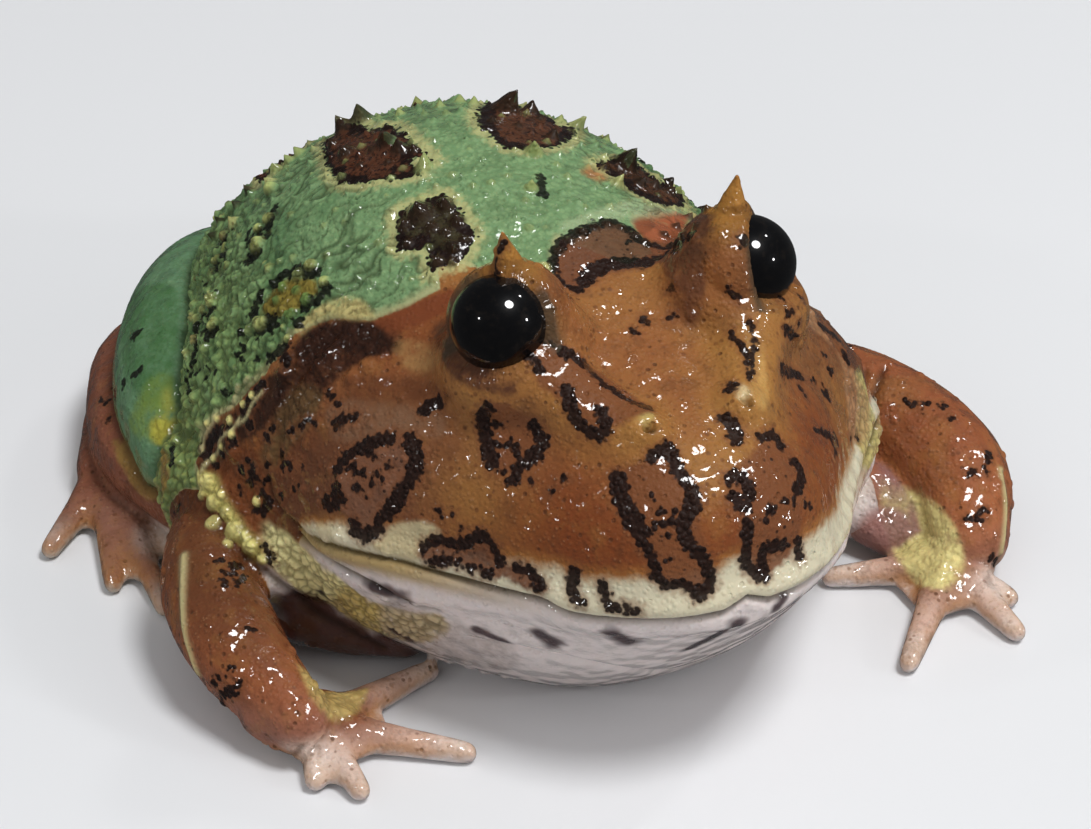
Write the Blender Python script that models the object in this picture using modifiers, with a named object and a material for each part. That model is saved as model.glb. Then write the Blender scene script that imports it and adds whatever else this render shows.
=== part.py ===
"""A sitting Cranwell's horned frog at life size, in solid pieces that meet face to face.

The frog faces -Y, its back is up +Z and its head's midline lies in the YZ plane. Sizes in this file are
millimetres, and MM turns them into Blender's metres. Each soft form is a few overlapping shapes fused by
a voxel Remesh, smoothed and thinned. Trunk and head are one form, parted by thin cuts at the neck and
along the mouth, and a limb is cut clear of what it lies against.
"""

import math
import random

import bmesh
import bpy
import numpy as np
from mathutils import Matrix, Vector
from mathutils.bvhtree import BVHTree

MM = 0.001
GAP = 0.3  # clear space between two pieces that touch

# Trunk and head, as sections from the snout back:
# y, half width, top, height of the widest point, bottom, middle in x, roundness of the upper half
BODY_SECTIONS = (
    (-28.9, 1.4, 17.6, 15.1, 13.4, 0.0, 2.0),
    (-28.3, 5.0, 20.2, 15.4, 12.4, 0.0, 2.0),
    (-26.2, 7.8, 22.6, 15.5, 9.6, 0.0, 2.0),
    (-22.5, 10.6, 24.0, 14.7, 4.9, 0.0, 2.0),
    (-17.5, 14.4, 25.0, 13.1, 0.2, 0.0, 2.0),
    (-11.5, 19.2, 26.2, 11.8, -1.4, 0.0, 2.0),
    (-5.0, 20.4, 27.9, 10.4, -1.6, -1.4, 1.9),
    (2.0, 21.4, 29.2, 9.4, -1.6, -2.8, 1.85),
    (9.5, 21.0, 29.5, 8.8, -1.6, -3.1, 1.85),
    (17.0, 18.2, 27.0, 9.4, -1.4, -2.9, 1.9),
    (24.0, 15.4, 22.0, 9.8, -0.6, -3.1, 2.0),
    (29.5, 10.6, 16.8, 9.4, 1.8, -3.0, 2.0),
    (32.4, 5.4, 12.2, 8.7, 4.6, -3.0, 2.0),
    (33.4, 1.2, 9.6, 8.4, 7.4, -3.0, 2.0),
)
LOWER_ROUNDNESS = 2.25  # 2 is an ellipse, more is squarer
SECTION_POINTS = 72
STEPS_BETWEEN_SECTIONS = 5

# Eyes, lids and horns, on the frog's left; the right ones are their mirror images
EYE_CENTRE = (9.0, -12.0, 27.8)
EYE_RADIUS = 3.25
EYE_AXIS = Vector((0.80, -0.50, 0.22)).normalized()  # the way the eye looks
LID_RADIUS = 3.95
LID_SET_BACK = 1.4
SNOUT_RIDGE = ((7.6, -14.6, 24.6, 2.6), (5.2, -18.4, 23.1, 2.6), (3.7, -21.2, 22.4, 2.4))  # x, y, z, radius
HORN_ROOT = (7.8, -10.9, 30.1)
HORN_TIP = (8.3, -10.8, 33.8)
HORN_RADIUS = 2.1

# Mouth line in side view, from the upper lip's middle back to the neck: y, z
MOUTH_LINE = (
    (-32.0, 15.1), (-28.6, 14.4), (-25.0, 13.7), (-22.0, 13.2), (-18.0, 12.4),
    (-14.0, 11.6), (-9.0, 10.4), (-4.0, 8.9), (-1.6, 8.2),
)
NECK_TOP = (-7.2, 31.0)  # y, z of the neck's cut in side view
NECK_BOTTOM = (-1.0, 4.0)
LIP_RADIUS = 0.85
LIP_OFFSET = 0.95  # from the mouth line up to the middle of the upper lip, and down to the lower one's

# Nostril pits, on the frog's left: from the opening inwards
NOSTRIL_OPENING = (3.5, -22.4, 25.6)
NOSTRIL_END = (2.9, -21.2, 23.6)
NOSTRIL_RADIUS = 0.55

# Warts and spines: radius at the skin, height above it
WARTS = {"small": (0.55, 0.65), "medium": (0.75, 0.95), "large": (1.05, 1.35), "round": (0.8, 0.55)}
WART_ROOT = 0.8  # how deep a wart's root sits under the skin
WART_SIDES = 6
WART_AXIS_Z = 9.0  # height of the line through the trunk that warts are placed round
WART_RAY = 60.0  # from outside the skin in to that line
# Those that stand on the marks of the back: y, degrees from the top round to the frog's left, kind
MARK_WARTS = (
    (17.3, -12, "large"), (15.5, -17, "medium"), (12.6, -20, "medium"), (10.3, -13, "large"),
    (8.2, -11, "medium"), (5.4, -11, "medium"), (12.0, 14, "large"), (14.4, 23, "medium"),
    (4.6, 11, "medium"), (5.3, 33, "large"), (2.4, 31, "medium"), (2.4, 39, "medium"),
    (3.2, -21, "medium"), (1.6, -12, "small"), (1.0, 6, "small"), (-1.9, -18, "medium"),
    (4.2, -40, "round"), (1.4, -40, "round"), (4.4, -55, "round"), (1.6, -49, "small"),
    (10.1, -45, "round"), (16.3, -37, "round"), (11.5, -60, "round"), (15.6, -58, "round"),
    (8.6, -66, "round"), (1.6, -64, "small"), (1.2, -76, "round"), (-4.3, 5, "small"),
)
SCATTERED_WARTS = 96  # over the rest of the back, the flanks and the rump
HEAD_WARTS = 22
WART_SPACING = 2.6
WART_CLEARANCE = 0.7  # from a wart to another node
WART_TRIES = 60  # draws for each wart that is kept
WART_SEED = 11

# Limbs on each side, as x, y, z, radius along the middle
ARMS = {
    "right": (
        (-17.0, 4.0, 8.0, 3.9), (-23.0, 2.8, 7.0, 4.2), (-27.0, -2.4, 5.6, 4.1),
        (-27.4, -9.0, 4.6, 3.7), (-25.8, -14.6, 3.0, 2.7),
    ),
    "left": (
        (15.0, 1.0, 7.4, 3.7), (21.6, -1.0, 6.8, 3.9), (25.4, -6.2, 5.9, 3.9),
        (26.4, -11.8, 4.9, 3.7), (25.0, -16.2, 3.0, 2.8),
    ),
}
# Hands: palm x, y, then the tips of four fingers from the inner one out
HANDS = {
    "right": ((-23.6, -14.4), (-14.2, -11.4), (-15.3, -20.3), (-23.1, -20.9), (-25.4, -18.8)),
    "left": ((23.2, -16.4), (15.4, -13.6), (15.7, -24.2), (24.1, -24.3), (25.6, -20.8)),
}
THIGHS = {
    "right": (
        (-9.0, 27.0, 9.0, 4.4), (-15.0, 26.6, 8.6, 5.3), (-19.0, 21.0, 8.4, 5.7),
        (-21.4, 15.4, 8.0, 5.4), (-22.6, 11.0, 7.0, 4.4),
    ),
    "left": (
        (3.0, 27.0, 9.0, 4.4), (8.6, 26.6, 8.6, 5.3), (12.8, 21.0, 8.4, 5.7),
        (15.4, 15.4, 8.0, 5.4), (17.2, 11.0, 7.0, 4.4),
    ),
}
SHANKS = {
    "right": (
        (-23.6, 9.4, 4.2, 2.9), (-25.0, 16.5, 4.6, 3.4), (-22.6, 25.0, 4.6, 3.2), (-19.0, 30.4, 3.8, 2.5),
    ),
    "left": (
        (18.2, 9.4, 4.2, 2.9), (19.2, 16.5, 4.6, 3.4), (16.4, 25.0, 4.6, 3.2), (12.6, 30.4, 3.8, 2.5),
    ),
}
# Hind feet: heel, sole and ball as x, y, z, radius, then the tips of five toes from the outer one in
FEET = {
    "right": (
        ((-18.6, 32.4, 2.3, 2.1), (-23.6, 26.0, 2.0, 2.1), (-27.2, 18.4, 1.8, 2.1)),
        ((-33.4, 12.2), (-30.6, 6.6), (-28.2, 2.6), (-25.6, 8.6), (-23.4, 13.6)),
    ),
    "left": (
        ((12.0, 32.4, 2.3, 2.1), (16.8, 26.0, 2.0, 2.1), (20.2, 18.4, 1.8, 2.1)),
        ((25.2, 12.2), (23.6, 6.6), (21.6, 2.6), (19.0, 8.6), (17.0, 13.6)),
    ),
}

# Triangles that each kind of piece is thinned to, after its cuts
TRIANGLES = {"front_leg": 360, "front_foot": 640, "thigh": 360, "shank": 300, "hind_foot": 700, "horn": 70}
CORE_TRIANGLES = 4800
SHARP_DEGREES = 42  # edges that turn more than this are shaded sharp

# Colour and roughness of each kind of piece
LOOKS = {
    "torso": ((0.22, 0.42, 0.24), 0.42),
    "head": ((0.42, 0.20, 0.08), 0.42),
    "lower_jaw": ((0.72, 0.66, 0.64), 0.42),
    "eye": ((0.01, 0.01, 0.012), 0.08),
    "horn": ((0.50, 0.28, 0.08), 0.45),
    "front_leg": ((0.38, 0.16, 0.08), 0.42),
    "front_foot": ((0.66, 0.40, 0.34), 0.42),
    "thigh": ((0.10, 0.26, 0.12), 0.42),
    "shank": ((0.48, 0.24, 0.18), 0.42),
    "hind_foot": ((0.62, 0.38, 0.32), 0.42),
}


def smooth_through(points, steps):
    """Points on a Catmull-Rom curve through the given rows, with so many steps between two rows."""
    rows = np.array(points, float)
    rows = np.vstack([2 * rows[0] - rows[1], rows, 2 * rows[-1] - rows[-2]])
    found = []
    for a, b, c, d in zip(rows, rows[1:], rows[2:], rows[3:]):
        slope = c - a
        bend = 2 * a - 5 * b + 4 * c - d
        twist = 3 * b - a - 3 * c + d
        for t in np.linspace(0, 1, steps, endpoint=False):
            found.append(0.5 * (2 * b + slope * t + bend * t**2 + twist * t**3))
    found.append(rows[-2])
    return np.array(found)


def linked(name, mesh, collection):
    thing = bpy.data.objects.new(name, mesh)
    collection.objects.link(thing)
    return thing


def mesh_from(name, builders):
    """A mesh, in metres, of the shapes that the builders make in millimetres."""
    made = bmesh.new()
    for build in builders:
        build(made)
    bmesh.ops.scale(made, vec=(MM, MM, MM), verts=made.verts)
    mesh = bpy.data.meshes.new(name)
    made.to_mesh(mesh)
    made.free()
    return mesh


def apply_all(thing):
    """Bakes the thing's modifiers into its mesh."""
    bpy.context.view_layer.update()
    seen = thing.evaluated_get(bpy.context.evaluated_depsgraph_get())
    mesh = bpy.data.meshes.new_from_object(seen)
    old = thing.data
    thing.modifiers.clear()
    thing.data = mesh
    bpy.data.meshes.remove(old)


def rings_to_skin(made, rings):
    """Joins rings of points with faces and closes both ends."""
    rows = [[made.verts.new(at) for at in ring] for ring in rings]
    faces = []
    count = len(rows[0])
    for near, far in zip(rows, rows[1:]):
        for k in range(count):
            j = (k + 1) % count
            faces.append(made.faces.new((near[k], near[j], far[j], far[k])))
    faces.append(made.faces.new(rows[0][::-1]))
    faces.append(made.faces.new(rows[-1]))
    bmesh.ops.recalc_face_normals(made, faces=faces)


def body_loft(made):
    """Rings across Y whose upper and lower halves are superellipses of their own."""
    rings = []
    sections = smooth_through(BODY_SECTIONS, STEPS_BETWEEN_SECTIONS)
    for y, half_width, top, widest, bottom, middle, roundness in sections:
        ring = []
        for k in range(SECTION_POINTS):
            turn = 2 * math.pi * k / SECTION_POINTS
            c, s = math.cos(turn), math.sin(turn)
            power = 2 / (roundness if s > 0 else LOWER_ROUNDNESS)
            reach = top - widest if s > 0 else widest - bottom
            x = middle + half_width * math.copysign(abs(c) ** power, c)
            z = widest + reach * math.copysign(abs(s) ** power, s)
            ring.append((x, y, z))
        rings.append(ring)
    rings_to_skin(made, rings)


def ellipsoid(centre, radii, turn=(0, 0, 0), fine=16):
    """A builder of an ellipsoid; turn is its rotation in degrees about X, Y and Z."""
    spin = Matrix.Rotation(math.radians(turn[2]), 4, "Z")
    spin @= Matrix.Rotation(math.radians(turn[1]), 4, "Y")
    spin @= Matrix.Rotation(math.radians(turn[0]), 4, "X")
    place = Matrix.Translation(centre) @ spin @ Matrix.Diagonal((*radii, 1))

    def build(made):
        bmesh.ops.create_uvsphere(made, u_segments=2 * fine, v_segments=fine, radius=1, matrix=place)

    return build


def limb(stations, sides=14, flat=1.0):
    """A builder of a round-ended tube through x, y, z, radius stations; flat scales its height."""

    def build(made):
        path = smooth_through(stations, 6)
        caps = []
        for end, inner in ((path[0], path[1]), (path[-1], path[-2])):
            away = (end[:3] - inner[:3]) / np.linalg.norm(end[:3] - inner[:3])
            cap = []
            for t in (0.4, 0.7, 0.9, 0.98):
                cap.append([*(end[:3] + away * end[3] * t), end[3] * math.sqrt(1 - t * t)])
            caps.append(cap)
        path = np.array(caps[0][::-1] + path.tolist() + caps[1])
        rings = []
        for (x, y, z, radius), along in zip(path, np.gradient(path[:, :3], axis=0)):
            side = np.cross(along, (0, 0, 1))
            side /= np.linalg.norm(side)
            up = np.cross(side, along)
            up /= np.linalg.norm(up)
            turns = [2 * math.pi * k / sides for k in range(sides)]
            rings.append(
                [np.array((x, y, z)) + radius * (math.cos(a) * side + math.sin(a) * up * flat) for a in turns]
            )
        rings_to_skin(made, rings)

    return build


def slab(x_reach, profile, thickness):
    """A builder of a thin sheet across X whose side view follows the profile of y, z points."""

    def build(made):
        path = np.array(profile, float)
        along = np.gradient(path, axis=0)
        across = np.stack([-along[:, 1], along[:, 0]], -1)
        across /= np.linalg.norm(across, axis=1)[:, None]
        over = path + across * thickness / 2
        under = path - across * thickness / 2
        outline = [*over, *under[::-1]]
        sides = [[made.verts.new((x, y, z)) for y, z in outline] for x in (-x_reach, x_reach)]
        faces = []
        total = len(outline)
        for k in range(total):
            j = (k + 1) % total
            faces.append(made.faces.new((sides[0][k], sides[0][j], sides[1][j], sides[1][k])))
        for side in sides:
            for k in range(len(path) - 1):
                mirrored = total - 1 - k
                faces.append(made.faces.new((side[k], side[k + 1], side[mirrored - 1], side[mirrored])))
        bmesh.ops.recalc_face_normals(made, faces=faces)

    return build


def box(low, high):
    """A builder of a box between two corners."""
    middle = (Vector(low) + Vector(high)) / 2
    size = Vector(high) - Vector(low)

    def build(made):
        bmesh.ops.create_cube(made, size=1, matrix=Matrix.Translation(middle) @ Matrix.Diagonal((*size, 1)))

    return build


def cone(root, tip, radius, sides=10, tip_radius=0.12):
    """A builder of a blunt cone from root to tip."""

    def build(made):
        start, end = Vector(root), Vector(tip)
        along = end - start
        place = Matrix.Translation((start + end) / 2) @ along.to_track_quat("Z", "Y").to_matrix().to_4x4()
        ends = {"radius1": radius, "radius2": tip_radius, "depth": along.length}
        bmesh.ops.create_cone(made, cap_ends=True, segments=sides, matrix=place, **ends)

    return build


def thinned(thing, triangles):
    """Collapses a thing to about so many triangles."""
    have = sum(len(face.vertices) - 2 for face in thing.data.polygons)
    thin = thing.modifiers.new("thin", "DECIMATE")
    thin.ratio = min(1.0, triangles / have)
    thin.use_collapse_triangulate = True
    apply_all(thing)


def fused(name, builders, voxel, smoothing, triangles, collection):
    """One closed skin round overlapping shapes: voxel Remesh, Smooth, then Decimate to so many triangles."""
    thing = linked(name, mesh_from(name, builders), collection)
    remesh = thing.modifiers.new("fuse", "REMESH")
    remesh.mode = "VOXEL"
    remesh.voxel_size = voxel * MM
    if smoothing:
        smooth = thing.modifiers.new("soften", "SMOOTH")
        smooth.factor = 0.5
        smooth.iterations = smoothing
    apply_all(thing)
    thinned(thing, triangles)
    return thing


def surfaces_of(mesh):
    """The mesh's closed surfaces, each as a set of vertex numbers, largest first."""
    owner = list(range(len(mesh.vertices)))

    def root(k):
        while owner[k] != k:
            owner[k] = owner[owner[k]]
            k = owner[k]
        return k

    for edge in mesh.edges:
        a, b = (root(k) for k in edge.vertices)
        owner[a] = b
    groups = {}
    for k in range(len(owner)):
        groups.setdefault(root(k), set()).add(k)
    return sorted(groups.values(), key=len, reverse=True)


def only(thing, keep):
    """Leaves only the vertices in keep."""
    made = bmesh.new()
    made.from_mesh(thing.data)
    bmesh.ops.delete(made, geom=[v for v in made.verts if v.index not in keep], context="VERTS")
    made.to_mesh(thing.data)
    made.free()


def boolean(thing, operation, other, solver="EXACT"):
    cut = thing.modifiers.new("cut", "BOOLEAN")
    cut.operation = operation
    cut.solver = solver
    cut.object = other
    apply_all(thing)


def minus(thing, other):
    """Cuts the other away, drops the cutter and keeps the largest surface that is left."""
    boolean(thing, "DIFFERENCE", other)
    bpy.data.objects.remove(other)
    only(thing, surfaces_of(thing.data)[0])


def fattened(thing, collection, voxel=0.4):
    """A clean copy of the thing, larger all round by the gap, to cut a neighbour clear of it."""
    copy = linked("fat_" + thing.name, thing.data.copy(), collection)
    swell = copy.modifiers.new("swell", "DISPLACE")
    swell.strength = (GAP + 0.05) * MM
    swell.mid_level = 0
    remesh = copy.modifiers.new("clean", "REMESH")
    remesh.mode = "VOXEL"
    remesh.voxel_size = voxel * MM
    apply_all(copy)
    thinned(copy, 3000)
    return copy


def clear_of(thing, others, collection):
    """Cuts the thing clear of its neighbours, then thins the surface that they left."""
    for other in others:
        minus(thing, fattened(other, collection))
    thinned(thing, TRIANGLES[thing.name.rsplit("_", 1)[0]])


def on_side(side, point):
    return (side * point[0], point[1], point[2])


def head_forms():
    """The lumps that make the front of the loft a head: lids, eye mounds, snout ridges, nostril bumps."""
    forms = []
    for side in (1, -1):
        eye = Vector(on_side(side, EYE_CENTRE))
        back = eye - LID_SET_BACK * Vector(on_side(side, EYE_AXIS))
        forms += [
            ellipsoid(back, (LID_RADIUS,) * 3),
            ellipsoid((side * 8.0, -11.6, 25.0), (5.4, 5.2, 3.4), (0, side * 24, 0)),
            limb([(*on_side(side, at), radius) for *at, radius in SNOUT_RIDGE]),
            ellipsoid((side * 3.3, -21.6, 23.9), (1.3, 1.5, 1.2)),
        ]
    return forms


def lips():
    """A soft roll above and below the mouth line, all round the front of the head."""
    sections = smooth_through(BODY_SECTIONS, STEPS_BETWEEN_SECTIONS)
    forms = []
    for offset in (LIP_OFFSET, -LIP_OFFSET):
        half = []
        for y, z in MOUTH_LINE[1:]:
            half_width, widest, bottom = (np.interp(y, sections[:, 0], sections[:, k]) for k in (1, 3, 4))
            drop = min(0.98, max(0.0, widest - z - offset) / (widest - bottom))
            x = half_width * (1 - drop**LOWER_ROUNDNESS) ** (1 / LOWER_ROUNDNESS)
            half.append((x, y, z + offset, LIP_RADIUS))
        forms.append(limb([(-x, y, z, radius) for x, y, z, radius in half[::-1]] + half, sides=8))
    return forms


def arm_flaps():
    """The flap of loose skin that lies over each upper arm."""
    return [
        ellipsoid((-20.4, 3.4, 7.2), (6.6, 10.0, 5.6), (0, 0, 6)),
        ellipsoid((15.6, 3.0, 8.0), (6.4, 9.0, 6.0), (0, 0, -6)),
    ]


def add_eye(head, side, tag, frog, cutters):
    """An eyeball, and its socket in the head."""
    centre = on_side(side, EYE_CENTRE)
    hollow = ellipsoid(centre, (EYE_RADIUS + GAP,) * 3, fine=11)
    minus(head, linked("socket", mesh_from("socket", [hollow]), cutters))
    return linked("eye_" + tag, mesh_from("eye", [ellipsoid(centre, (EYE_RADIUS,) * 3, fine=10)]), frog)


def wart(kind, at, normal):
    """A builder of one wart with its root sunk in the skin: a cone, or a low dome where it is round."""
    radius, height = WARTS[kind]
    if kind == "round":
        place = Matrix.Translation(at) @ normal.to_track_quat("Z", "Y").to_matrix().to_4x4()
        place @= Matrix.Diagonal((radius, radius, height, 1))

        def build(made):
            bmesh.ops.create_uvsphere(made, u_segments=WART_SIDES, v_segments=4, radius=1, matrix=place)

        return build
    wide = radius * (height + WART_ROOT) / height
    return cone(at - normal * WART_ROOT, at + normal * height, wide, sides=WART_SIDES, tip_radius=0)


def skin_tree(things):
    """A search tree over the things' faces, in millimetres."""
    points = []
    faces = []
    for thing in things:
        first = len(points)
        points += [vertex.co / MM for vertex in thing.data.vertices]
        faces += [[k + first for k in face.vertices] for face in thing.data.polygons]
    return BVHTree.FromPolygons(points, faces)


def wart_places(skin, others, marked, count, draw, kept):
    """Marked warts, then so many drawn at random where they keep clear of each other and of other nodes."""
    found = []
    tries = [(y, degrees, kind) for y, degrees, kind in marked]
    middles = smooth_through(BODY_SECTIONS, STEPS_BETWEEN_SECTIONS)[:, (0, 5)]
    for k in range(WART_TRIES * count):
        tries.append(draw())
    for y, degrees, kind in tries:
        if len(found) == len(marked) + count:
            break
        axis = Vector((np.interp(y, middles[:, 0], middles[:, 1]), y, WART_AXIS_Z))
        turn = math.radians(degrees)
        outwards = Vector((math.sin(turn), 0, math.cos(turn)))
        at, normal = skin.ray_cast(axis + outwards * WART_RAY, -outwards)[:2]
        if at is None or (at - axis).dot(outwards) < 0:
            continue
        radius, height = WARTS[kind]
        ends = (at, at + normal * height)
        if min(others.find_nearest(end)[3] for end in ends) < radius + WART_CLEARANCE:
            continue
        if any((at - old).length < WART_SPACING for old in kept):
            continue
        kept.append(at)
        found.append(wart(kind, at, normal))
    return found


def add_warts(thing, builders, cutters):
    """Joins the warts to a thing in one union and keeps its largest surface."""
    group = bpy.data.collections.new("warts")
    cutters.children.link(group)
    for build in builders:
        linked("wart", mesh_from("wart", [build]), group)
    join = thing.modifiers.new("join", "BOOLEAN")
    join.operation = "UNION"
    join.solver = "EXACT"
    join.operand_type = "COLLECTION"
    join.collection = group
    apply_all(thing)
    for old in list(group.objects):
        bpy.data.objects.remove(old)
    bpy.data.collections.remove(group)
    only(thing, surfaces_of(thing.data)[0])


def warty(torso, head, others, cutters):
    """Warts over the trunk, and small ones over the back of the head."""
    rng = random.Random(WART_SEED)
    kept = []

    def on_trunk():
        degrees = rng.uniform(-104, 104)
        if abs(degrees) < 26 and rng.random() < 0.6:
            degrees *= 3
        kind = rng.choice(("round", "round", "small") if abs(degrees) > 50 else ("small", "small", "medium"))
        return rng.uniform(-4.5, 31), degrees, kind

    def on_head():
        return rng.uniform(-15, -3), rng.choice((-1, 1)) * rng.uniform(48, 84), "small"

    for thing, other, marked, count, draw in (
        (torso, head, MARK_WARTS, SCATTERED_WARTS, on_trunk),
        (head, torso, (), HEAD_WARTS, on_head),
    ):
        beside = skin_tree([other, *others])
        add_warts(thing, wart_places(skin_tree([thing]), beside, marked, count, draw, kept), cutters)


def nostrils(head, cutters):
    """A pit at each nostril."""
    for side in (1, -1):
        ends = (on_side(side, NOSTRIL_OPENING), on_side(side, NOSTRIL_END))
        pit = cone(*ends, NOSTRIL_RADIUS, sides=8, tip_radius=NOSTRIL_RADIUS / 2)
        minus(head, linked("nostril", mesh_from("nostril", [pit]), cutters))


def front_leg(tag, frog):
    arm = fused("front_leg_" + tag, [limb(ARMS[tag])], 0.45, 4, 900, frog)
    palm, *tips = HANDS[tag]
    forms = [ellipsoid((*palm, 1.5), (3.0, 3.2, 1.7))]
    for tip in tips:
        middle = ((palm[0] + tip[0]) / 2, (palm[1] + tip[1]) / 2)
        forms.append(limb([(*palm, 1.2, 1.5), (*middle, 1.1, 1.15), (*tip, 0.85, 0.95)]))
    hand = fused("front_foot_" + tag, forms, 0.35, 3, 1200, frog)
    return arm, hand


def hind_leg(tag, frog):
    thigh = fused("thigh_" + tag, [limb(THIGHS[tag])], 0.5, 5, 900, frog)
    shank = fused("shank_" + tag, [limb(SHANKS[tag])], 0.5, 5, 700, frog)
    sole, tips = FEET[tag]
    forms = [limb(sole)]
    ball = sole[-1]
    for tip in tips:
        middle = ((ball[0] + tip[0]) / 2, (ball[1] + tip[1]) / 2)
        forms.append(limb([(ball[0], ball[1], 1.4, 1.5), (*middle, 1.1, 1.15), (*tip, 0.85, 0.95)]))
    foot = fused("hind_foot_" + tag, forms, 0.35, 3, 1400, frog)
    return thigh, shank, foot


def along_line(a, b, t):
    return tuple(p + (q - p) * t for p, q in zip(a, b))


def parted_core(core, frog, cutters):
    """Cuts the core at the neck and along the mouth into trunk, head and lower jaw."""
    ends = (along_line(NECK_BOTTOM, NECK_TOP, 1.6), along_line(NECK_BOTTOM, NECK_TOP, -0.5))
    neck = linked("neck_cut", mesh_from("neck", [slab(40, ends, GAP)]), cutters)
    boolean(core, "DIFFERENCE", neck)
    bpy.data.objects.remove(neck)
    pieces = surfaces_of(core.data)
    front = linked("head", core.data.copy(), frog)
    core.name = "torso"
    ahead = sorted(pieces[:2], key=lambda piece: np.mean([core.data.vertices[k].co.y for k in piece]))
    only(front, ahead[0])
    only(core, ahead[1])
    mouth = linked("mouth_cut", mesh_from("mouth", [slab(40, smooth_through(MOUTH_LINE, 3), GAP)]), cutters)
    boolean(front, "DIFFERENCE", mouth)
    bpy.data.objects.remove(mouth)
    pieces = surfaces_of(front.data)
    jaw = linked("lower_jaw", front.data.copy(), frog)
    lower = sorted(pieces[:2], key=lambda piece: np.mean([front.data.vertices[k].co.z for k in piece]))
    only(jaw, lower[0])
    only(front, lower[1])
    return core, front, jaw


def over_origin(frog):
    """Moves the whole frog so that its box is centred over the origin, and names its meshes."""
    corners = np.array([vertex.co for thing in frog.objects for vertex in thing.data.vertices])
    middle = (corners.min(0) + corners.max(0)) / 2
    for thing in frog.objects:
        thing.data.name = thing.name
        thing.data.transform(Matrix.Translation((-middle[0], -middle[1], 0)))
        thing.data.shade_smooth()
        thing.data.set_sharp_from_angle(angle=math.radians(SHARP_DEGREES))


def coloured(frog):
    """Gives each piece the material of its kind."""
    for kind, (colour, roughness) in LOOKS.items():
        material = bpy.data.materials.new(kind)
        material.use_nodes = True
        skin = material.node_tree.nodes["Principled BSDF"]
        skin.inputs["Base Color"].default_value = (*colour, 1)
        skin.inputs["Roughness"].default_value = roughness
        for thing in frog.objects:
            if thing.name == kind or thing.name in (kind + "_left", kind + "_right"):
                thing.data.materials.clear()
                thing.data.materials.append(material)


def main():
    for thing in list(bpy.data.objects):
        bpy.data.objects.remove(thing)
    frog = bpy.data.collections.new("horned_frog")
    cutters = bpy.data.collections.new("cutters")
    bpy.context.scene.collection.children.link(frog)
    bpy.context.scene.collection.children.link(cutters)

    core = fused("core", [body_loft, *head_forms(), *lips(), *arm_flaps()], 0.5, 4, CORE_TRIANGLES, frog)
    limbs = []
    for tag in ("right", "left"):
        arm, hand = front_leg(tag, frog)
        thigh, shank, foot = hind_leg(tag, frog)
        clear_of(arm, [core], cutters)
        clear_of(hand, [core, arm], cutters)
        clear_of(thigh, [core], cutters)
        clear_of(shank, [core, thigh], cutters)
        clear_of(foot, [core, thigh, shank], cutters)
        limbs += [arm, hand, thigh, shank, foot]
    torso, head, jaw = parted_core(core, frog, cutters)
    nostrils(head, cutters)
    others = [jaw, *limbs]
    for side, tag in ((1, "left"), (-1, "right")):
        eye = add_eye(head, side, tag, frog, cutters)
        horn = linked("horn_" + tag, mesh_from("horn", [
            cone(on_side(side, HORN_ROOT), on_side(side, HORN_TIP), HORN_RADIUS, sides=14)
        ]), frog)
        clear_of(horn, [head, eye], cutters)
        others += [eye, horn]
    warty(torso, head, others, cutters)
    for thing in (torso, jaw, *limbs):
        minus(thing, linked("floor", mesh_from("floor", [box((-60, -60, -20), (60, 60, 0))]), cutters))
    over_origin(frog)
    coloured(frog)
    bpy.data.collections.remove(cutters)


main()
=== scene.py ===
"""The looks of a sitting horned frog: one wet, warty skin over the solids, and two black eyes.

Lengths are millimetres in the frog's own frame: the head's midline is x = 0, the head faces -y and the
floor is z = 0. to_row turns them into the row's metres. Places that are read off the photograph are pixels
of its 1091 by 829 frame, and are cast from the camera onto the skin, so that they sit on it from any side.
"""

import math
import random

import bmesh
import bpy
import numpy as np
from mathutils import Matrix, Vector, kdtree, noise
from mathutils.bvhtree import BVHTree


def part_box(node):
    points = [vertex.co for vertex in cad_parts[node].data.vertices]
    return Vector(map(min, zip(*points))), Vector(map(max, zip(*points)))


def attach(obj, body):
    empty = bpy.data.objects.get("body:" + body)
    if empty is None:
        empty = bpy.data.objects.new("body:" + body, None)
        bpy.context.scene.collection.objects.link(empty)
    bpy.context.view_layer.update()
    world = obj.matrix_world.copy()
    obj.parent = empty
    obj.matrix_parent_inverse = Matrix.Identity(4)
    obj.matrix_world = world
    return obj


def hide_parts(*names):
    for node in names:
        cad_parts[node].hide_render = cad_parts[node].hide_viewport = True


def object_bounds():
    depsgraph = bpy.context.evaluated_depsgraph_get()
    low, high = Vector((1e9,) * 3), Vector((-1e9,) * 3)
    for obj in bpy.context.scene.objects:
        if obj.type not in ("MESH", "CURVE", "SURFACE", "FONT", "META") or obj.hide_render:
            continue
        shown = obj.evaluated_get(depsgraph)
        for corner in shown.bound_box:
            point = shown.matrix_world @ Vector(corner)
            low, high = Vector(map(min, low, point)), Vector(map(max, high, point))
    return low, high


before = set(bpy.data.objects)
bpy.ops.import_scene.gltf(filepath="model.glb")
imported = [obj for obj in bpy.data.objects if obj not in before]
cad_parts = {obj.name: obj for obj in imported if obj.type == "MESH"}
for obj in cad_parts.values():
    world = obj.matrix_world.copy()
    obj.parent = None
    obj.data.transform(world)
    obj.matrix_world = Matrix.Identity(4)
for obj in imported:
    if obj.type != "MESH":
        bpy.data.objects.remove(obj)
CAD_LOW, CAD_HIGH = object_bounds()

MM = 0.001
EYE_MIDDLE = np.array((0.0, -12.0, 27.8))  # halfway between the eyes, in the frog's frame
EYE_RADIUS = 3.25
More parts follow.
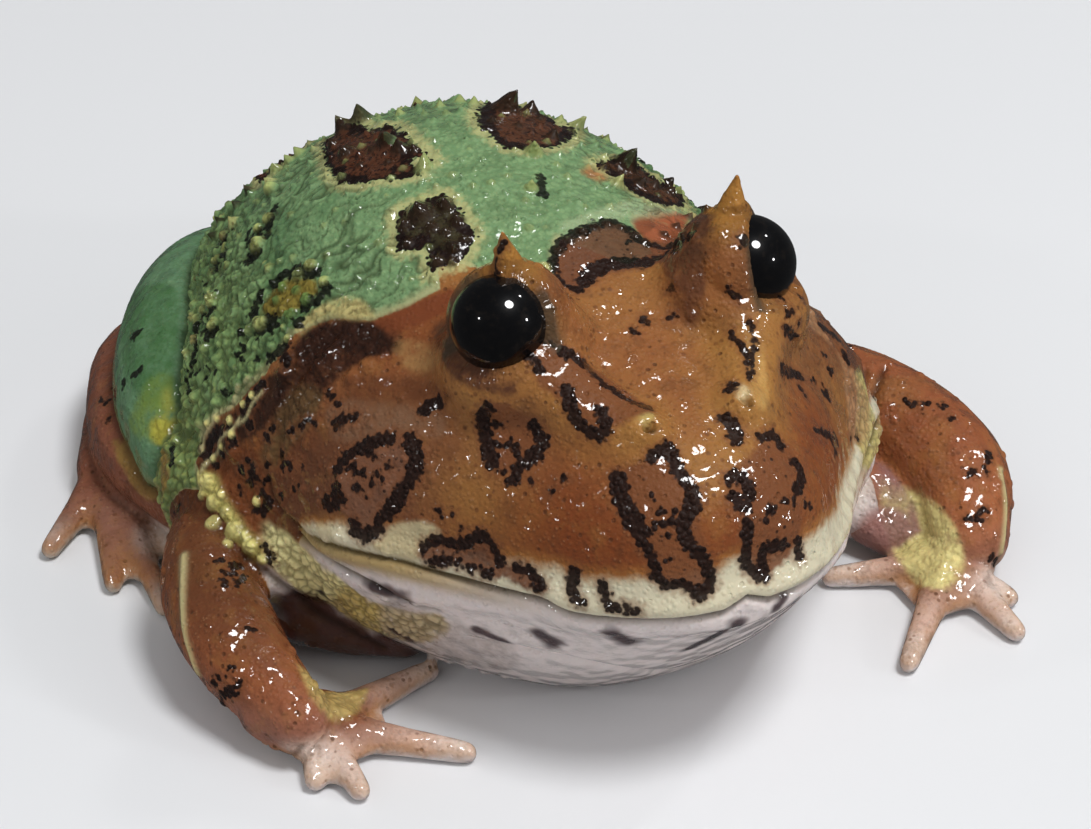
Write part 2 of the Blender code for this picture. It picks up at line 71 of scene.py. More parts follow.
# The opening between the lids of each eye is a cone round an axis, with its half angle in degrees
EYES = {
    "right": {"centre": (-9.0, -12.0, 27.8), "axis": (-0.64, -0.62, 0.40), "opening": 83.0},
    "left": {"centre": (8.55, -12.1, 27.75), "axis": (0.80, -0.50, 0.22), "opening": 76.0},
}
FLESH = [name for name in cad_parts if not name.startswith("eye")]

# The camera, fitted to the eyes, horns, mouth and hands of the photograph
PHOTO = (1091, 829)
AZIMUTH = math.radians(-24.5)
ELEVATION = math.radians(35.0)
CAMERA_DISTANCE = 240.0
PIXELS_PER_MM = 14.45  # at the target
TARGET = np.array((-1.2, -1.79, 11.97))
SENSOR = 36.0  # width of the film in mm
FOCAL_PIXELS = PIXELS_PER_MM * CAMERA_DISTANCE
BACK = np.array((
    math.sin(AZIMUTH) * math.cos(ELEVATION), -math.cos(AZIMUTH) * math.cos(ELEVATION), math.sin(ELEVATION),
))
RIGHT = np.array((math.cos(AZIMUTH), math.sin(AZIMUTH), 0.0))
UP = np.cross(BACK, RIGHT)
CAMERA = TARGET + CAMERA_DISTANCE * BACK


def box_middle(name):
    low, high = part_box(name)
    return np.array((low + high) / 2) / MM


FROG = (box_middle("eye_left") + box_middle("eye_right")) / 2 - EYE_MIDDLE


def to_row(points):
    """Points in the frog's millimetres as the row's metres."""
    return (np.asarray(points, float) + FROG) * MM


def to_frog(points):
    return np.asarray(points, float) / MM - FROG


def smooth_step(value, low, high):
    """0 below low, 1 above high, and smooth between."""
    t = np.clip((value - low) / (high - low), 0, 1)
    return t * t * (3 - 2 * t)


def hill(value, width):
    return np.exp(-((value / width) ** 2))


def unit(vector):
    return np.asarray(vector, float) / np.linalg.norm(vector)


def mirrored(points):
    return np.asarray(points, float) * (-1, 1, 1)


def curve_through(points, steps, closed=False):
    """Points on a smooth curve through rows of numbers."""
    rows = np.array(points, float)
    if closed:
        rows = np.vstack([rows[-1], rows, rows[:2]])
    else:
        rows = np.vstack([2 * rows[0] - rows[1], rows, 2 * rows[-1] - rows[-2]])
    found = []
    for a, b, c, d in zip(rows, rows[1:], rows[2:], rows[3:]):
        for t in np.linspace(0, 1, steps, endpoint=False):
            bend = 2 * a - 5 * b + 4 * c - d
            twist = 3 * b - a - 3 * c + d
            found.append(0.5 * (2 * b + (c - a) * t + bend * t**2 + twist * t**3))
    if not closed:
        found.append(rows[-2])
    return np.array(found)


def put_in_scene(name, data):
    thing = bpy.data.objects.new(name, data)
    bpy.context.scene.collection.objects.link(thing)
    return thing


# The skin's mesh

VOXEL = 0.16
SWELL = 0.2  # each solid grows by this, so that they run together
SHRINK = 0.16  # and the skin goes back by this
# Hands and feet: palm or ball x, y, then the tips of the fingers or toes
DIGITS = {
    "hand right": ((-23.6, -14.4), (-14.2, -11.4), (-15.3, -20.3), (-23.1, -20.9), (-25.4, -18.8)),
    "hand left": ((23.2, -16.4), (15.4, -13.6), (15.7, -24.2), (24.1, -24.3), (25.6, -20.8)),
    "foot right": ((-27.2, 18.4), (-33.4, 12.2), (-30.6, 6.6), (-28.2, 2.6), (-25.6, 8.6), (-23.4, 13.6)),
    "foot left": ((20.2, 18.4), (25.2, 12.2), (23.6, 6.6), (21.6, 2.6), (19.0, 8.6), (17.0, 13.6)),
}
WEB_REACH = {"hand": 0.5, "foot": 0.55}
WEB_HEIGHT = 0.75
WEB_THICKNESS = 0.42
# The flesh of the chest beside each hand: x, y, z, radius
CHEST = (
    (
        (-14.6, -1.0, 3.5, 3.3), (-19.6, -1.0, 3.6, 3.3), (-20.4, -4.4, 2.6, 2.5), (-18.2, -6.8, 1.7, 1.6),
        (-14.8, -8.6, 1.9, 1.8),
    ),
    (
        (17.5, -5.0, 4.0, 3.2), (21.5, -5.5, 3.5, 2.6), (22.5, -9.5, 2.6, 2.2), (20.5, -12.5, 1.8, 1.5),
        (24.3, -13.0, 2.4, 2.0),
    ),
)
# The right chest's colour is painted shade; the left one is its mauve pink
CHEST_SHADE_AND_PINK = ((0.085, 0.022, 0.012), (0.33, 0.16, 0.14))
# From the end of each forearm: x, y, z, radius, then how far along each finger its flesh runs, and how thick
WRISTS = {"hand right": (-26.2, -13.2, 2.9, 2.5), "hand left": (25.1, -15.2, 2.9, 2.5)}
FINGER_FLESH = ((0.42, 0.85), (0.45, 0.95), (0.45, 0.95), (0.55, 0.95))
FINGER_HEIGHT = 1.05
HEEL = (1.9, 1.5)  # height and radius of the heel of a hand
HORN_ROOT = (7.8, -10.9, 30.1)
HORN_TIP = (8.3, -10.8, 33.8)
HORN_WAIST = 0.72  # how slim a horn is above its root, beside its solid
FINGER_SLIM = (0.95, 0.80)  # how thick a finger is at its root and its tip, beside its solid
ARM_SLIM = 0.88  # how thick the bent part of the right arm is, beside its solid
ARM_SHIFT = 0.7
# The middle line of that part: x, -y, z
ARM_MIDDLE = ((-23.0, -2.8, 7.0), (-27.0, 2.4, 5.6), (-27.4, 9.0, 4.6), (-25.8, 14.6, 3.0))


def welded(node):
    """A node's mesh as a bmesh with its split corners joined again, in the frog's millimetres."""
    made = bmesh.new()
    made.from_mesh(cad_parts[node].data)
    bmesh.ops.remove_doubles(made, verts=made.verts, dist=1e-6)
    for vertex in made.verts:
        vertex.co = to_frog(vertex.co)
    made.normal_update()
    return made


def joined(forms, scale=1.0):
    """The points and faces of several forms in one list each; the forms are freed."""
    points, faces = [], []
    for form in forms:
        first = len(points)
        form.verts.index_update()
        points += [tuple(vertex.co * scale) for vertex in form.verts]
        faces += [[vertex.index + first for vertex in face.verts] for face in form.faces]
        form.free()
    return points, faces


def hull(balls):
    """The hull of some balls, each x, y, z and radius."""
    made = bmesh.new()
    for x, y, z, radius in balls:
        bmesh.ops.create_icosphere(made, subdivisions=2, radius=radius, matrix=Matrix.Translation((x, y, z)))
    found = bmesh.ops.convex_hull(made, input=made.verts)
    inside = [part for part in found["geom_interior"] if isinstance(part, bmesh.types.BMVert)]
    bmesh.ops.delete(made, geom=inside, context="VERTS")
    return made


def webs_and_wrists():
    """Webs between fingers and toes, and the flesh between each forearm and its fingers."""
    forms = []
    for name, (root, *tips) in DIGITS.items():
        reach = WEB_REACH[name.split()[0]]
        middle = np.array(root)
        for one, other in zip(tips, tips[1:]):
            ends = [middle + (np.array(tip) - middle) * reach for tip in (one, other)]
            forms.append(hull([(*point, WEB_HEIGHT, WEB_THICKNESS) for point in (middle, *ends)]))
        if name in WRISTS:
            bases = []
            for tip, (along, radius) in zip(tips, FINGER_FLESH):
                bases.append((*(middle + (np.array(tip) - middle) * along), FINGER_HEIGHT, radius))
            forms.append(hull([WRISTS[name], *bases[1:]]))
            forms.append(hull([(*middle, *HEEL), bases[0]]))
    forms += [hull(balls) for balls in CHEST]
    return forms


def slim_horn(form, side):
    """Draws a horn in towards its axis above the root, so that its sides are hollow."""
    root, tip = np.array(HORN_ROOT) * (side, 1, 1), np.array(HORN_TIP) * (side, 1, 1)
    for vertex in form.verts:
        t = np.clip((np.array(vertex.co) - root) @ (tip - root) / ((tip - root) @ (tip - root)), 0, 1)
        centre = root + (tip - root) * t
        width = HORN_WAIST + (1 - HORN_WAIST) * (1 - t) ** 4
        flat = (np.array(vertex.co) - centre) * (1, 1, 0)
        vertex.co -= Vector(flat * (1 - width) * (t > 0))


def slim_fingers(form, root, tips):
    """Draws fingers or toes in towards their middle lines; they still rest on the floor."""
    for vertex in form.verts:
        flat = np.array(vertex.co.xy)
        found = []
        for tip in tips:
            along = np.array(tip) - np.array(root)
            t = float(np.clip((flat - root) @ along / (along @ along), 0, 1))
            middle = np.array(root) + along * t
            found.append((np.linalg.norm(flat - middle), t, middle))
        distance, t, middle = min(found, key=lambda row: row[0])
        slim = 1 - (1 - np.interp(t, (0.3, 1.0), FINGER_SLIM)) * float(smooth_step(t, 0.25, 0.5))
        vertex.co.xy = middle + (flat - middle) * slim
        vertex.co.z *= 0.25 + 0.75 * slim


def slim_arm(form):
    """Draws the bent part of the right arm in towards the trunk."""
    x, y, z = zip(*ARM_MIDDLE)
    for vertex in form.verts:
        centre = Vector((np.interp(-vertex.co.y, y, x), vertex.co.y, np.interp(-vertex.co.y, y, z)))
        share = float(smooth_step(-vertex.co.x, 18.0, 24.0))
        slim = centre + (vertex.co - centre) * ARM_SLIM + Vector((ARM_SHIFT, 0, 0))
        vertex.co = vertex.co.lerp(slim, share)


def skin_object():
    """Copies of the solids of flesh, swollen a little, run together by a voxel Remesh."""
    forms = []
    for name in FLESH:
        form = welded(name)
        if name.startswith("horn"):
            bmesh.ops.subdivide_edges(form, edges=form.edges, cuts=2, use_grid_fill=True)
            slim_horn(form, 1 if name.endswith("left") else -1)
        if name == "front_leg_right":
            slim_arm(form)
        if "foot" in name:
            limb = "hand " if name.startswith("front") else "foot "
            root, *tips = DIGITS[limb + name.split("_")[-1]]
            slim_fingers(form, root, tips)
        form.normal_update()
        for vertex in form.verts:
            vertex.co += vertex.normal * SWELL
        forms.append(form)
    for eye in EYES.values():
        ball = bmesh.new()
        centre = Matrix.Translation(eye["centre"])
        bmesh.ops.create_uvsphere(ball, u_segments=48, v_segments=24, radius=EYE_RADIUS + 0.1, matrix=centre)
        forms.append(ball)
    points, faces = joined(forms + webs_and_wrists(), MM)
    mesh = bpy.data.meshes.new("skin")
    mesh.from_pydata(points, [], faces)
    thing = put_in_scene("skin", mesh)
    remesh = thing.modifiers.new("run together", "REMESH")
    remesh.mode = "VOXEL"
    remesh.voxel_size = VOXEL * MM
    bpy.context.view_layer.update()
    seen = thing.evaluated_get(bpy.context.evaluated_depsgraph_get())
    thing.data = bpy.data.meshes.new_from_object(seen)
    thing.modifiers.clear()
    bpy.data.meshes.remove(mesh)
    thing.data.name = "skin"
    return thing


def values_of(items, name, width=1, kind=float):
    """One value of each vertex, edge, corner or face as an array."""
    values = np.empty(len(items) * width, kind)
    items.foreach_get(name, values)
    return values.reshape(-1, width) if width > 1 else values


class Skin:
    """The skin's mesh with its points in the frog's millimetres, as arrays."""

    def __init__(self, thing):
        self.thing = thing
        self.keep_largest()
        self.read()

    def read(self):
        mesh = self.thing.data
        self.count = len(mesh.vertices)
        self.at = values_of(mesh.vertices, "co", 3) / MM
        self.edges = values_of(mesh.edges, "vertices", 2, int)
        self.degree = np.bincount(self.edges.ravel(), minlength=self.count)
        self.write()

    def write(self):
        """Puts the points into the mesh, still in the frog's frame, and reads the normals back."""
        mesh = self.thing.data
        mesh.vertices.foreach_set("co", (self.at * MM).ravel())
        mesh.update()
        self.normal = values_of(mesh.vertex_normals, "vector", 3)

    def keep_largest(self):
        """Drops the loose inner surfaces that the Remesh leaves where solids met."""
        made = bmesh.new()
        made.from_mesh(self.thing.data)
        left = set(made.verts)
        islands = []
        while left:
            island = [left.pop()]
            for vertex in island:
                for edge in vertex.link_edges:
                    other = edge.other_vert(vertex)
                    if other in left:
                        left.remove(other)
                        island.append(other)
            islands.append(island)
        islands.remove(max(islands, key=len))
        loose = [vertex for island in islands for vertex in island]
        bmesh.ops.delete(made, geom=loose, context="VERTS")
        made.to_mesh(self.thing.data)
        made.free()

    def spread(self, values):
        """The mean of each point's neighbours, for a field or for the points themselves."""
        a, b = self.edges.T
        columns = np.atleast_2d(values.T)
        sums = []
        for column in columns:
            total = np.bincount(a, column[b], self.count) + np.bincount(b, column[a], self.count)
            sums.append(total / self.degree)
        return np.array(sums).T.reshape(values.shape)

    def relax(self, rounds, strength):
        """Smooths the surface; strength is one number for each point."""
        for k in range(rounds):
            self.at += (self.spread(self.at) - self.at) * strength[:, None]

    def softened(self, field, rounds):
        for k in range(rounds):
            field = 0.5 * field + 0.5 * self.spread(field)
        return field

    def push(self, distance):
        """Moves each point along its normal."""
        self.at += self.normal * distance[:, None]
        self.write()

    def search_trees(self):
        faces = [tuple(face.vertices) for face in self.thing.data.polygons]
        self.tree = BVHTree.FromPolygons(self.at.tolist(), faces)
        self.points = kdtree.KDTree(self.count)
        for k, point in enumerate(self.at):
            self.points.insert(point, k)
        self.points.balance()

    def near(self, point, reach):
        return np.array([found[1] for found in self.points.find_range(point, reach)], int)


def cast(pixel):
    """Where a pixel of the photograph falls on the skin, and the skin's normal there."""
    across = (pixel[0] - PHOTO[0] / 2) / FOCAL_PIXELS
    down = (pixel[1] - PHOTO[1] / 2) / FOCAL_PIXELS
    at, normal = skin.tree.ray_cast(Vector(CAMERA), Vector(unit(across * RIGHT - down * UP - BACK)))[:2]
    if at is None:
        return None
    return np.array(at), np.array(normal)


def cast_near(pixel):
    """The skin at a pixel, or a little lower where the pixel just misses the frog's outline."""
    found = [cast((pixel[0], pixel[1] + drop)) for drop in (0, 7, 14)]
    return next((hit for hit in found if hit is not None), None)


def cast_line(pixels, steps=3, closed=False):
    """The curve through some pixels, as points on the skin."""
    found = [cast(pixel) for pixel in curve_through(pixels, steps, closed)]
    return np.array([hit[0] for hit in found if hit is not None])


def settle(point):
    """The nearest place on the skin, and its normal."""
    at, normal = skin.tree.find_nearest(Vector(point))[:2]
    return np.array(at), np.array(normal)


def on_trunk(y, degrees):
    """The skin at so many degrees round the trunk from its top, towards the frog's left."""
    axis = np.array((trunk_middle(y), y, TRUNK_AXIS_Z))
    outwards = np.array((math.sin(math.radians(degrees)), 0, math.cos(math.radians(degrees))))
    at, normal = skin.tree.ray_cast(Vector(axis + outwards * 60), Vector(-outwards))[:2]
    return np.array(at), np.array(normal)


# The trunk's middle line: y, x
TRUNK_MIDDLE = ((-11.5, 0.0), (-5.0, -1.4), (2.0, -2.8), (9.5, -3.1), (33.0, -3.0))
TRUNK_AXIS_Z = 9.0
TRUNK_RADIUS = 19.0


def trunk_middle(y):
    return np.interp(y, *zip(*TRUNK_MIDDLE))


def degrees_round(points):
    """How far round the trunk from its top each point is, towards the frog's left."""
    x, y, z = np.asarray(points).T
    return np.degrees(np.arctan2(x - trunk_middle(y), z - TRUNK_AXIS_Z))


# Which part of the body each point belongs to

LIMBS = {"arm": "front_leg", "hand": "front_foot", "thigh": "thigh", "shank": "shank", "foot": "hind_foot"}
PARTS = {"core": ("torso", "head", "lower_jaw", "horn_left", "horn_right")}
for limb, node in LIMBS.items():
    for side in ("right", "left"):
        PARTS[f"{limb} {side}"] = (f"{node}_{side}",)
FAR = 9.0  # stands for any greater distance
NEARBY = 1.6  # from a part's box; distances are worked out this far
GROUPS = {"core": 0, "arm": 1, "hand": 1, "thigh": 3, "shank": 5, "foot": 5}


def body_groups():
    """One number for each point: the body, or an arm with its hand, a thigh, or a shank with its foot."""
    numbers = [GROUPS[name.split()[0]] + name.endswith("left") for name in PARTS]
    return np.array(numbers)[np.argmin([part_distance[name] for name in PARTS], axis=0)]


def common_group(points):
    groups = [group[skin.points.find(point)[1]] for point in points]
    return np.array(groups), np.bincount(groups).argmax()


def distances_to_parts():
    """For each point of the skin, its distance to each part's solids."""
    found = {}
    touched = np.zeros(skin.count, bool)
    for part in list(PARTS)[1:] + ["core"]:
        points, faces = joined([welded(node) for node in PARTS[part]])
        tree = BVHTree.FromPolygons(points, faces)
        low, high = np.min(points, axis=0) - NEARBY, np.max(points, axis=0) + NEARBY
        inside = np.all((skin.at > low) & (skin.at < high), axis=1)
        if part == "core":
            inside = touched
        touched |= inside
        distance = np.full(skin.count, 0.0 if part == "core" else FAR)
        for k in np.nonzero(inside)[0]:
            distance[k] = tree.find_nearest(skin.at[k])[3]
        found[part] = distance
    return found


def share_of(limb):
    """1 where one of these limbs, or the core, is the nearest part, 0 where another is, smooth between."""
    own = np.min([part_distance[name] for name in PARTS if name.startswith(limb)], axis=0)
    others = np.min([part_distance[name] for name in PARTS if not name.startswith(limb)], axis=0)
    return skin.softened(smooth_step(others - own, -0.3, 0.3), 3)


# The mouth

MOUTH_LINE = (
    (-32.0, 15.1), (-28.6, 14.4), (-25.0, 13.7), (-22.0, 13.2), (-18.0, 12.4), (-14.0, 11.6), (-9.0, 10.4),
    (-4.0, 8.9), (0.0, 7.8),
)
# Pixels of the photograph along the mouth, from its corner forwards
MOUTH_PIXELS = (
    (301, 532), (329, 544), (353, 551), (391, 559), (422, 568), (463, 580), (508, 592), (543, 601),
)
MOUTH_CORNER_Y = -6.4
MOUTH_DEPTH = 0.5
MOUTH_WIDTH = 0.2
LIP_SWELL = 0.22
NOTCH_HEIGHT = 0.75
NOTCH_WIDTH = 1.6


def above_mouth():
    """How far each point is above the line of the mouth."""
    x, y, z = skin.at.T
    side = sorted(tuple(cast(pixel)[0][1:]) for pixel in MOUTH_PIXELS)
    front = [row for row in MOUTH_LINE if row[0] < side[0][0] - 1.5]
    line = curve_through(front + side, 6)
    notch = NOTCH_HEIGHT * np.maximum(0, 1 - np.abs(x) / NOTCH_WIDTH) * smooth_step(-y, 24, 27)
    return z - np.interp(y, line[:, 0], line[:, 1]) - notch


def shape_mouth():
    high = above_mouth()
    fade = smooth_step(-skin.at[:, 1], -MOUTH_CORNER_Y, -MOUTH_CORNER_Y + 2.5) * core_share
    depth = MOUTH_DEPTH * (1 - 0.45 * smooth_step(skin.at[:, 1], -20, -14))
    groove = -depth * hill(high, MOUTH_WIDTH)
    lips = LIP_SWELL * hill(high - 0.75, 0.55) + 0.7 * LIP_SWELL * hill(high + 0.7, 0.5)
    skin.push((groove + lips) * fade)
    return fade


# The lids

LID_RISE = 0.34  # how far a lid's rim stands over the eyeball
LID_BLEND = 26.0  # degrees from the rim to where the lid is plain head
LID_EDGE = 7.0  # degrees over which the rim is rounded
LID_SLOPE = 0.02  # mm of rise for each degree
LID_REACH = 2.4  # how far from the eyeball a lid shapes the skin


def round_eye(eye):
    """Each point's direction and distance from an eye's centre, and degrees past the opening's edge."""
    offset = skin.at - eye["centre"]
    reach = np.linalg.norm(offset, axis=1)
    out = offset / reach[:, None]
    degrees = np.degrees(np.arccos(np.clip(out @ unit(eye["axis"]), -1, 1))) - eye["opening"]
    return out, reach, degrees


def shape_lids():
    """Pushes the skin inside the eyeball in the opening, and raises a rounded lid round it."""
    rims = np.full(skin.count, FAR)
    for eye in EYES.values():
        out, reach, degrees = round_eye(eye)
        close = reach < EYE_RADIUS + LID_REACH
        rounded = LID_RISE * np.sqrt(np.clip(degrees / LID_EDGE, 0, 1))
        lid = EYE_RADIUS + rounded + LID_SLOPE * np.clip(degrees, 0, LID_BLEND)
        hidden_part = EYE_RADIUS - 0.55 * smooth_step(-degrees, 0, 9)
        wanted = np.where(degrees > 0, lid, hidden_part)
        limit = np.where(degrees > 0, lid, EYE_RADIUS + 0.9)
        moved = close & (reach < limit)
        skin.at[moved] = (np.array(eye["centre"]) + out * wanted[:, None])[moved]
        along = np.radians(degrees) * EYE_RADIUS
        rims = np.where(close & (reach < EYE_RADIUS + 1.2), np.minimum(rims, along), rims)
    skin.write()
    return rims


def lid_places():
    """The distance of each point from the edge of an eye's opening, or FAR."""
    found = np.full(skin.count, FAR)
    for eye in EYES.values():
        out, reach, degrees = round_eye(eye)
        along = np.where(degrees > 0, np.radians(degrees) * reach, 0.0)
        found = np.minimum(found, np.where(reach < EYE_RADIUS + 3.0, along, FAR))
    return found


# Nostrils

NOSTRIL = (3.5, -22.4, 25.0)
NOSTRIL_BUMP = (3.2, -21.7, 24.6)
BUMP_SIZE = (1.25, 0.5)  # radius and height
PIT_WIDTH = 0.3
PIT_DEPTH = 0.9


def shape_nostrils():
    for side in (1, -1):
        bump, bump_normal = settle(np.array(NOSTRIL_BUMP) * (side, 1, 1))
        raise_point(bump, bump_normal, *BUMP_SIZE, "dome")
        pit, pit_normal = settle(np.array(NOSTRIL) * (side, 1, 1))
        near = skin.near(pit, 4 * PIT_WIDTH)
        away = skin.at[near] - pit
        across = np.linalg.norm(away - np.outer(away @ pit_normal, pit_normal), axis=1)
        skin.at[near] -= pit_normal * (PIT_DEPTH * hill(across, PIT_WIDTH))[:, None]
        pits.append(pit)


# Folds and crease lines: pixels along each one, then depth and width in mm, and how much painted shade
# darkens it

CREASES = {
    "below the lip": (((298, 535), (318, 553), (343, 570), (370, 584), (408, 604),
      (436, 611)), 0.34, 0.28, 0.85),
    "behind the mouth": (((303, 533), (288, 519), (272, 498), (268, 480)), 0.22, 0.3, 0.5),
    "under the jaw": (((470, 640), (560, 657), (620, 669), (665, 671), (720, 657),
      (766, 630)), 0.25, 0.4, 0.0),
    "long flank fold": (((262, 532), (300, 566), (330, 592), (372, 618)), 0.2, 0.25, 0.5),
    "arm pit": (((247, 556), (290, 592), (340, 625), (384, 650)), 0.3, 0.4, 0.7),
    "cheek fold": (((352, 318), (310, 360), (285, 410), (276, 460)), 0.16, 0.5, 0.3),
}


def distance_to_stretch(points, a, b):
    along = b - a
    t = np.clip(((points - a) @ along) / max(along @ along, 1e-12), 0, 1)
    return np.linalg.norm(points - a - t[:, None] * along, axis=1)


def distance_to_line(points, line):
    """The distance from each point to a line of straight stretches, or FAR where it is well away."""
    found = np.full(len(points), FAR)
    inside = np.all((points > line.min(0) - 3.0) & (points < line.max(0) + 3.0), axis=1)
    points = points[inside]
    best = np.full(len(points), FAR)
    for a, b in zip(line, line[1:]):
        best = np.minimum(best, distance_to_stretch(points, a, b))
    found[inside] = best
    return found


def shape_creases():
    """Carves each crease on both sides, and returns the painted shade that darkens the skin in it."""
    dark = np.zeros(skin.count)
    depth_field = np.zeros(skin.count)
    for pixels, depth, width, darkness in CREASES.values():
        line = cast_line(pixels, 4)
        for side in (line, np.array([settle(point)[0] for point in mirrored(line)])):
            distance = distance_to_line(skin.at, side)
            depth_field = np.maximum(depth_field, depth * hill(distance, width))
            dark = np.maximum(dark, hill(distance, width * 0.7) * darkness)
    skin.push(-depth_field)
    return dark


# Warts and spines

SPINE_PIXELS = {
    "dark": (
        ((346, 130), 1.0, 1.25), ((361, 117), 1.0, 1.3), ((385, 139), 0.85, 1.1), ((400, 150), 0.8, 1.0),
        ((345, 152), 0.8, 0.6), ((333, 145), 0.5, 0.6), ((372, 150), 0.45, 0.4), ((360, 165), 0.4, 0.35),
        ((388, 162), 0.4, 0.35), ((414, 150), 0.5, 0.5), ((506, 106), 1.2, 1.7), ((530, 105), 0.8, 1.0),
        ((552, 138), 0.6, 0.8), ((492, 122), 0.5, 0.5), ((540, 120), 0.5, 0.5), ((518, 126), 0.45, 0.35),
        ((626, 163), 1.1, 1.7), ((604, 170), 0.5, 0.5), ((641, 182), 0.6, 0.6), ((655, 186), 0.6, 0.6),
        ((670, 192), 0.6, 0.6), ((667, 178), 0.6, 0.8), ((679, 198), 0.5, 0.5), ((420, 214), 1.2, 1.2),
        ((445, 205), 0.8, 0.9), ((404, 226), 0.6, 0.6), ((432, 228), 0.6, 0.5), ((458, 222), 0.7, 0.7),
        ((407, 243), 0.5, 0.4), ((464, 240), 0.5, 0.5), ((437, 262), 0.6, 0.5), ((452, 262), 0.5, 0.4),
        ((452, 247), 0.6, 0.6), ((446, 233), 0.5, 0.6), ((664, 236), 0.5, 0.5), ((676, 228), 0.5, 0.5),
        ((688, 219), 0.5, 0.55), ((699, 211), 0.45, 0.5), ((708, 203), 0.4, 0.45), ((671, 246), 0.4, 0.35),
        ((684, 236), 0.4, 0.35), ((697, 226), 0.4, 0.35), ((583, 232), 0.5, 0.3), ((595, 227), 0.5, 0.3),
        ((608, 225), 0.55, 0.35), ((621, 228), 0.5, 0.3), ((633, 235), 0.5, 0.3), ((570, 240), 0.5, 0.3),
        ((560, 251), 0.45, 0.25), ((646, 243), 0.45, 0.25), ((222, 222), 0.5, 0.7), ((238, 206), 0.5, 0.7),
        ((250, 192), 0.5, 0.7), ((214, 236), 0.45, 0.6),
    ),
    "yellow": (
        ((424, 165), 0.7, 0.9), ((534, 150), 0.75, 1.1), ((531, 188), 0.55, 0.8), ((676, 180), 0.6, 0.7),
        ((694, 190), 0.6, 0.7), ((578, 117), 0.6, 0.8), ((560, 108), 0.5, 0.6), ((606, 140), 0.5, 0.6),
        ((622, 148), 0.5, 0.6), ((460, 96), 0.6, 0.7), ((474, 90), 0.5, 0.6), ((440, 100), 0.5, 0.6),
        ((418, 98), 0.6, 0.7), ((400, 108), 0.5, 0.6), ((276, 170), 0.6, 0.7), ((290, 155), 0.6, 0.7),
        ((300, 140), 0.6, 0.7), ((315, 125), 0.6, 0.7),
    ),
}
# Rounded beads: pixel, radius in mm, and whether a black spot of painted shadow is drawn on its lower side
BEAD_PIXELS = (
    ((270, 188), 0.62, 0), ((256, 244), 0.72, 1), ((268, 218), 0.5, 1), ((258, 228), 0.4, 1),
    ((215, 259), 0.45, 1), ((223, 247), 0.4, 1), ((211, 300), 0.58, 1), ((197, 320), 0.45, 1),
    ((213, 324), 0.55, 1), ((203, 310), 0.35, 1), ((310, 264), 0.5, 1), ((324, 281), 0.45, 1),
    ((260, 323), 0.6, 1), ((207, 482), 0.62, 0), ((212, 503), 0.62, 0), ((213, 522), 0.6, 0),
    ((233, 531), 0.7, 0), ((249, 547), 0.6, 0), ((224, 512), 0.45, 0), ((257, 501), 0.4, 1),
    ((262, 560), 0.45, 0), ((243, 536), 0.4, 0), ((221, 495), 0.35, 0), ((200, 494), 0.4, 0),
    ((228, 543), 0.4, 0), ((230, 420), 0.35, 1), ((218, 418), 0.35, 0), ((207, 424), 0.3, 0),
    ((243, 404), 0.3, 1), ((232, 434), 0.35, 1), ((222, 446), 0.3, 1), ((214, 458), 0.3, 1),
    ((252, 395), 0.3, 1), ((287, 338), 0.35, 1),
)
PEARLS_BELOW = 340  # pixels down the photograph; beads above this are green
GREEN_BEADS = (((306, 299), 0.5), ((290, 315), 0.5), ((283, 287), 0.45), ((296, 290), 0.4), ((276, 300), 0.4))
PEARL = (0.88, 0.80, 0.30)
PALE_GREEN = (0.50, 0.56, 0.19)
BEAD_GREEN = (0.16, 0.27, 0.07)
TIP_YELLOW = (0.34, 0.40, 0.14)
TIP_DARK = (0.030, 0.016, 0.008)
SPINE_TINT = 0.85
BEAD_RISE = 0.75  # height of a bead beside its radius
# Small warts between the others: how many, how far apart, their radii, what share is tinted and how strongly
EXTRA_WARTS = {
    "spine": {
        "count": 420, "gap": 1.05, "radius": (0.2, 0.42),
        "tinted": 0.3, "colour": TIP_YELLOW, "weight": 0.4,
    },
    "bead": {
        "count": 420, "gap": 0.8, "radius": (0.22, 0.45),
        "tinted": 0.12, "colour": PALE_GREEN, "weight": 0.6,
    },
}
EXTRA_SPINE_RISE = (0.7, 1.3)  # height beside radius
EXTRA_BEAD_RISE = 0.6
EXTRA_TRIES = 14000
LIMB_GRAINS = 420


def profile(kind, t):
    """The height of a wart, from 1 at its middle, against distance in radii."""
    if kind == "spine":
        return np.clip(1 - t, 0, 1) ** 1.25 + 0.10 * np.clip(1 - t / 1.9, 0, 1) ** 2
    if kind == "bead":
        return np.sqrt(np.clip(1 - t**2, 0, 1))
    return np.clip(1 - (t / 1.5) ** 2, 0, 1) ** 1.5


def raise_point(at, normal, radius, height, kind, colour=None, weight=1.0):
    """Raises one wart, keeping the higher where two overlap, and tints it."""
    near = skin.near(at, radius * 2 + 0.3)
    if len(near) == 0:
        return
    away = skin.base[near] - at
    along = away @ normal
    across = np.linalg.norm(away - np.outer(along, normal), axis=1)
    t = across / radius
    lift = np.where(np.abs(along) < 1.4, height * profile(kind, t), 0)
    grow = np.maximum(lift - skin.lift[near], 0)
    skin.at[near] += normal * grow[:, None]
    skin.lift[near] = np.maximum(skin.lift[near], lift)
    if colour is not None:
        tint(near, colour, weight * smooth_step(-t, -1.15, -0.55))


def tint_all(colour, weight):
    tint(np.arange(skin.count), colour, weight)


def tint(which, colour, weight):
    """Lays a soft colour over some points; the weights are kept with it."""
    old = tints[which]
    weight = np.asarray(weight)[:, None]
    alpha = old[:, 3:] + weight * (1 - old[:, 3:])
    share = np.divide(weight, alpha, out=np.zeros_like(alpha), where=alpha > 1e-6)
    tints[which, :3] = old[:, :3] * (1 - share) + np.array(colour) * share
    tints[which, 3:] = alpha


